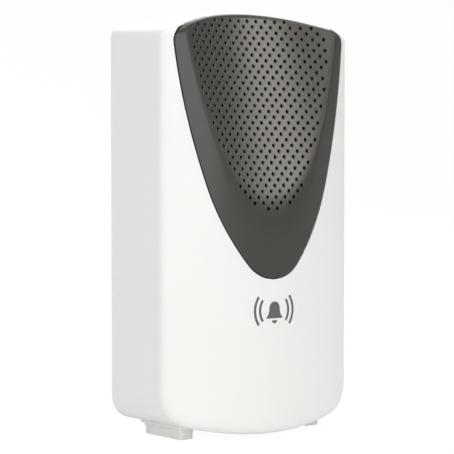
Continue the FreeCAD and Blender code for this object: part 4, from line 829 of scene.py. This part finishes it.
def metal(name, colour, shade, roughness):
    """Bare metal with faint blotches and fine scratches."""
    material, tree = new_material(name)
    place = object_points(tree)
    blotch = grain(tree, place, 160.0, 3.0)
    scratch = grain(tree, place, 900.0, 2.0, 0.7)
    tone = blend_colours(tree, blotch, colour, shade)
    gloss = (scratch - 0.5) * 0.2 + (blotch - 0.5) * 0.1 + roughness
    finish_material(tree, Base_Color=tone, Metallic=1.0, Roughness=gloss,
                    Normal=bump(tree, scratch, 0.2, 0.00002))
    return material


def cloth_like(name, colour, shade, scale):
    """A dull, fibrous or grainy surface."""
    material, tree = new_material(name)
    place = object_points(tree)
    fibres = grain(tree, place, scale, 4.0, 0.7)
    tone = blend_colours(tree, fibres, colour, shade)
    finish_material(tree, Base_Color=tone, Roughness=(fibres - 0.5) * 0.1 + 0.88,
                    Normal=bump(tree, fibres, 0.6, 0.00008))
    return material


# Finishes that take no colour from the settings, each with its maker first. A plastic then has colour, shade,
# roughness and its grain's scale and depth, a cloth colour, shade and scale, a metal colour, shade and roughness
PLAIN_FINISHES = {
    "switch_black": (moulded, (0.02, 0.02, 0.02), (0.03, 0.03, 0.03), 0.5, 1800.0, 0.00001),
    "socket_cream": (moulded, (0.7, 0.62, 0.42), (0.62, 0.55, 0.38), 0.5, 1500.0, 0.00001),
    "board_green": (moulded, (0.01, 0.09, 0.03), (0.015, 0.12, 0.04), 0.35, 500.0, 0.00002),
    "capacitor_sleeve": (moulded, (0.01, 0.015, 0.06), (0.02, 0.02, 0.08), 0.3, 900.0, 0.00001),
    "cell_can": (moulded, (0.05, 0.06, 0.07), (0.09, 0.1, 0.11), 0.28, 700.0, 0.00001),
    "mark_grey": (moulded, (0.10, 0.10, 0.095), (0.12, 0.12, 0.115), 0.5, 1200.0, 0.000006),
    "foam_black": (cloth_like, (0.012, 0.012, 0.012), (0.03, 0.03, 0.03), 2200.0),
    "paper_cone": (cloth_like, (0.02, 0.02, 0.02), (0.04, 0.038, 0.035), 1500.0),
    "spider_cloth": (cloth_like, (0.35, 0.2, 0.06), (0.45, 0.28, 0.1), 1800.0),
    "ferrite": (cloth_like, (0.03, 0.03, 0.032), (0.05, 0.05, 0.052), 900.0),
    "bright_steel": (metal, (0.6, 0.6, 0.6), (0.5, 0.5, 0.5), 0.35),
    "antenna_wire": (metal, (0.7, 0.66, 0.6), (0.6, 0.55, 0.5), 0.3),
    "contact_spring": (metal, (0.75, 0.73, 0.7), (0.65, 0.63, 0.6), 0.25),
    "screw_zinc": (metal, (0.55, 0.56, 0.58), (0.45, 0.46, 0.48), 0.38),
    "copper_coil": (metal, (0.7, 0.28, 0.12), (0.55, 0.2, 0.08), 0.4),
}
FINISHES = {}


def make_finish(slot):
    """A new material for a slot, from its own row or from the colours in the settings."""
    if slot in PLAIN_FINISHES:
        maker, *values = PLAIN_FINISHES[slot]
        return maker(slot, *values)
    settings = bpy.context.scene.chime_colours
    white = tuple(settings.case_colour)
    if slot == "white_case":
        return moulded(slot, white, scaled(white, 0.985), 0.42, 2600.0, 0.000012)
    if slot == "white_control":
        return moulded(slot, scaled(white, 0.98), scaled(white, 0.95), 0.35, 3200.0, 0.000008)
    if slot == "hole_wall":
        return bore(slot, tuple(settings.painted_highlight_colour))
    return lacquer(slot, tuple(settings.grille_colour), tuple(settings.dish_colour))


def finish(slot):
    """The material of a slot of the record, made once."""
    if slot not in FINISHES:
        FINISHES[slot] = make_finish(slot)
    return FINISHES[slot]


def coat(piece, slot):
    """Give a whole piece one finish. The sign is printed, so it goes with the record's dark slot."""
    piece.data.materials.clear()
    piece.data.materials.append(finish(slot))
    for face in piece.data.polygons:
        face.material_index = 0


# Settings

class ChimeCase(bpy.types.PropertyGroup):
    rounding: bpy.props.FloatProperty(name="Edge Rounding", description="Radius of the front's outer edge",
                                      default=3.0 * MM, min=0.5 * MM, max=4.0 * MM, subtype="DISTANCE")
    groove: bpy.props.FloatProperty(name="Groove", description="Gap between the case and the shield",
                                    default=0.45 * MM, min=0.1 * MM, max=1.0 * MM, subtype="DISTANCE")
    lip: bpy.props.FloatProperty(name="Lip", description="Rounding of the case's rear edge",
                                 default=0.4 * MM, min=0.1 * MM, max=1.0 * MM, subtype="DISTANCE")
    foot_spacing: bpy.props.FloatProperty(name="Foot Spacing", description="Distance between the two feet",
                                          default=56.6 * MM, subtype="DISTANCE")
    foot_width: bpy.props.FloatProperty(name="Foot Width", description="Width of each foot",
                                        default=5.8 * MM, subtype="DISTANCE")


class ChimeGrille(bpy.types.PropertyGroup):
    crease: bpy.props.FloatProperty(name="Crease", description="Softness of the line between border and dish",
                                    default=CREASE, min=0.1 * MM, max=3.0 * MM, subtype="DISTANCE")
    edge: bpy.props.FloatProperty(name="Edge", description="Rounding of the shield's outer edge",
                                  default=0.3 * MM, min=0.05 * MM, max=1.0 * MM, subtype="DISTANCE")


class ChimeColours(bpy.types.PropertyGroup):
    case_colour: bpy.props.FloatVectorProperty(name="Case", description="Colour of the white moulding",
                                               default=(0.85, 0.842, 0.822), min=0, max=1, subtype="COLOR")
    grille_colour: bpy.props.FloatVectorProperty(name="Grille", description="Colour of the shield's border",
                                                 default=(0.036, 0.036, 0.030), min=0, max=1, subtype="COLOR")
    dish_colour: bpy.props.FloatVectorProperty(name="Dish", description="Colour of the lacquer in the dish",
                                               default=(0.135, 0.128, 0.117), min=0, max=1, subtype="COLOR")
    # Colour of the painted highlight on the hole walls near the mouths; black painted shade lies deeper in
    painted_highlight_colour: bpy.props.FloatVectorProperty(name="Hole Rim",
                                              description="Colour of the walls near the mouths",
                                              default=(0.24, 0.23, 0.21), min=0, max=1, subtype="COLOR")


# Operators

class BuildCase(bpy.types.Operator):
    """Smooth white case with its two feet and the openings for the controls"""
    bl_idname = "chime.build_case"
    bl_label = "Case"

    def execute(self, context):
        sizes = context.scene.chime_case
        case = build_case(sizes.rounding, sizes.groove, sizes.lip)
        button_low, button_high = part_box("melody_button")
        slider_low, slider_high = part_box("volume_slider")
        gap, beyond = 0.3 * MM, 1 * MM
        button_radius, slot_half_width, slot_half_height = 3.5 * MM, 1.4 * MM, 5 * MM
        inside, outside = HALF_WIDTH - WALL - beyond, HALF_WIDTH + beyond
        depth = (button_low.y + button_high.y) / 2
        hole = bar("button_hole", (depth, (button_low.z + button_high.z) / 2), button_radius + gap,
                   inside, outside)
        middle = (slider_low.z + slider_high.z) / 2
        slot = block("slider_slot", (inside, depth - slot_half_width - gap, middle - slot_half_height - gap),
                     (outside, depth + slot_half_width + gap, middle + slot_half_height + gap))
        combine(case, "DIFFERENCE", hole, slot)
        combine(case, "UNION", *[build_foot(side, sizes.foot_spacing, sizes.foot_width) for side in (-1, 1)])
        smooth(case.data)
        coat(case, "white_case")
        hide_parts("front_cover")
        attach(case, "housing")
        return {"FINISHED"}


class BuildGrille(bpy.types.Operator):
    """Dark shield with its perforated dish"""
    bl_idname = "chime.build_grille"
    bl_label = "Grille"

    def execute(self, context):
        sizes = context.scene.chime_grille
        grille = build_grille(context.scene.chime_case.rounding, sizes.crease, sizes.edge)
        freeze(grille)
        modifier = grille.modifiers.new("Holes", "NODES")
        modifier.node_group = perforation_tree(finish("hole_wall"), finish("dark_grille"))
        freeze(grille)
        smooth(grille.data)
        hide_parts("grille_insert")
        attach(grille, "housing")
        return {"FINISHED"}


class BuildSign(bpy.types.Operator):
    """Small printed bell on the front"""
    bl_idname = "chime.build_sign"
    bl_label = "Bell Sign"

    def execute(self, context):
        sign = build_sign(height=44.3 * MM)
        coat(sign, "mark_grey")
        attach(sign, "housing")
        return {"FINISHED"}


class DressNodes(bpy.types.Operator):
    """Finishes on every piece that keeps its own shape"""
    bl_idname = "chime.dress_nodes"
    bl_label = "Finishes"

    def execute(self, context):
        for entry in frame["record"]["subparts"]:
            node = frame["nodes"][entry["node"]]
            if node.hide_render:
                continue
            slot = entry["material_slot"]
            node.data.materials.clear()
            node.data.materials.append(finish(slot))
        return {"FINISHED"}


class BuildStage(bpy.types.Operator):
    """Pale floor, soft studio light and the camera"""
    bl_idname = "chime.build_stage"
    bl_label = "Stage"

    def execute(self, context):
        scene = context.scene
        scene.view_settings.view_transform = "Standard"
        build_floor()
        build_lights(scene)
        build_camera(scene)
        return {"FINISHED"}


def build_floor():
    """Level floor that curves up into a backdrop."""
    half, near, far, bend, height, steps = 6.0, -7.0, 2.0, 0.8, 3.0, 16
    path = [(near, 0.0), (far - bend, 0.0)]
    for n in range(1, steps + 1):
        turn = math.pi / 2 * n / steps
        path.append((far - bend + bend * math.sin(turn), bend - bend * math.cos(turn)))
    path.append((far, height))
    verts = [(x, y, z) for y, z in path for x in (-half, half)]
    faces = [(2 * n, 2 * n + 1, 2 * n + 3, 2 * n + 2) for n in range(len(path) - 1)]
    floor = make_object("floor", verts, faces, smooth_angle=60)
    material, tree = new_material("pale_floor")
    ray = {wire.socket.name: wire for wire in add_node(tree, "ShaderNodeLightPath")}
    plain = add_node(tree, "ShaderNodeBsdfDiffuse", None, {"Color": (0.90, 0.90, 0.90, 1)})[0]
    glow = add_node(tree, "ShaderNodeEmission", None, {"Color": (1, 1, 1, 1), "Strength": 1.03})[0]
    seen = ray["Is Camera Ray"].above(ray["Is Glossy Ray"]).above(ray["Is Transmission Ray"])
    lit = add_node(tree, "ShaderNodeMixShader", None, {0: seen * 0.93, 1: plain, 2: glow})[0]
    add_node(tree, "ShaderNodeOutputMaterial", None, {0: lit})
    floor.data.materials.append(material)


def lamp_place(turn, rise, distance):
    """A place around the unit, by its turn to the right of the front and its rise, in degrees."""
    turn, rise = math.radians(turn), math.radians(rise)
    level = math.cos(rise)
    return Vector((math.sin(turn) * level, -math.cos(turn) * level, math.sin(rise))) * distance


# Name, turn, rise, distance, width and height in metres, power in watts
LAMPS = (
    ("front", -10, 3, 1.6, 1.0, 0.6, 6.5),
    ("left", -68, 18, 1.6, 1.0, 1.1, 8.6),
    ("sheen", 33, 23, 1.6, 0.75, 0.5, 3.9),
    ("top", 0, 80, 1.6, 1.4, 1.4, 15.0),
    ("back", 150, 35, 1.8, 1.2, 1.2, 5.0),
)


def build_lights(scene):
    """A dim white world and the lamps of the studio, all turned to the middle of the shield."""
    world = bpy.data.worlds.new("Studio")
    scene.world = world
    world.use_nodes = True
    tree = world.node_tree
    tree.nodes.clear()
    glow = add_node(tree, "ShaderNodeBackground", None, {"Color": (1, 1, 1, 1), "Strength": 0.22})[0]
    add_node(tree, "ShaderNodeOutputWorld", None, {0: glow})
    target = Vector((0, 0, 100 * MM))
    for name, turn, rise, distance, width, height, power in LAMPS:
        lamp = bpy.data.lights.new(name, "AREA")
        lamp.energy = power
        lamp.shape = "RECTANGLE"
        lamp.size = width
        lamp.size_y = height
        holder = bpy.data.objects.new(name, lamp)
        holder.location = target + lamp_place(turn, rise, distance)
        holder.rotation_euler = (target - holder.location).to_track_quat("-Z", "Y").to_euler()
        scene.collection.objects.link(holder)


def build_camera(scene):
    """The photograph's camera, as fitted to the case's edges."""
    place = Vector((-442.8, -580.7, 108.4)) * MM
    ahead_x, ahead_y, pitch = 0.6017, 0.7987, math.radians(2.762)
    data = bpy.data.cameras.new("Camera")
    data.lens = 161.76
    data.sensor_width = 36.0
    data.clip_start = 0.05
    holder = bpy.data.objects.new("Camera", data)
    holder.location = place
    view = Vector((ahead_x * math.cos(pitch), ahead_y * math.cos(pitch), -math.sin(pitch)))
    holder.rotation_euler = view.to_track_quat("-Z", "Y").to_euler()
    scene.collection.objects.link(holder)
    scene.camera = holder


class ChimePanel(bpy.types.Panel):
    bl_idname = "VIEW3D_PT_chime"
    bl_label = "Door Chime"
    bl_space_type = "VIEW_3D"
    bl_region_type = "UI"
    bl_category = "Chime"

    def draw(self, context):
        for group in ("chime_case", "chime_grille", "chime_colours"):
            settings = getattr(context.scene, group)
            for name in settings.__annotations__:
                self.layout.prop(settings, name)
        for step in STEPS:
            self.layout.operator(step.bl_idname)


STEPS = (BuildCase, BuildGrille, BuildSign, DressNodes, BuildStage)
GROUPS = {"chime_case": ChimeCase, "chime_grille": ChimeGrille, "chime_colours": ChimeColours}


def register():
    for group in GROUPS.values():
        bpy.utils.register_class(group)
    for name, group in GROUPS.items():
        setattr(bpy.types.Scene, name, bpy.props.PointerProperty(type=group))
    for step in STEPS:
        bpy.utils.register_class(step)
    bpy.utils.register_class(ChimePanel)


def unregister():
    bpy.utils.unregister_class(ChimePanel)
    for step in reversed(STEPS):
        bpy.utils.unregister_class(step)
    for name in GROUPS:
        delattr(bpy.types.Scene, name)
    for group in GROUPS.values():
        bpy.utils.unregister_class(group)


def main():
    register()
    for step in STEPS:
        group, name = step.bl_idname.split(".")
        getattr(getattr(bpy.ops, group), name)()


if __name__ == "__main__":
    main()
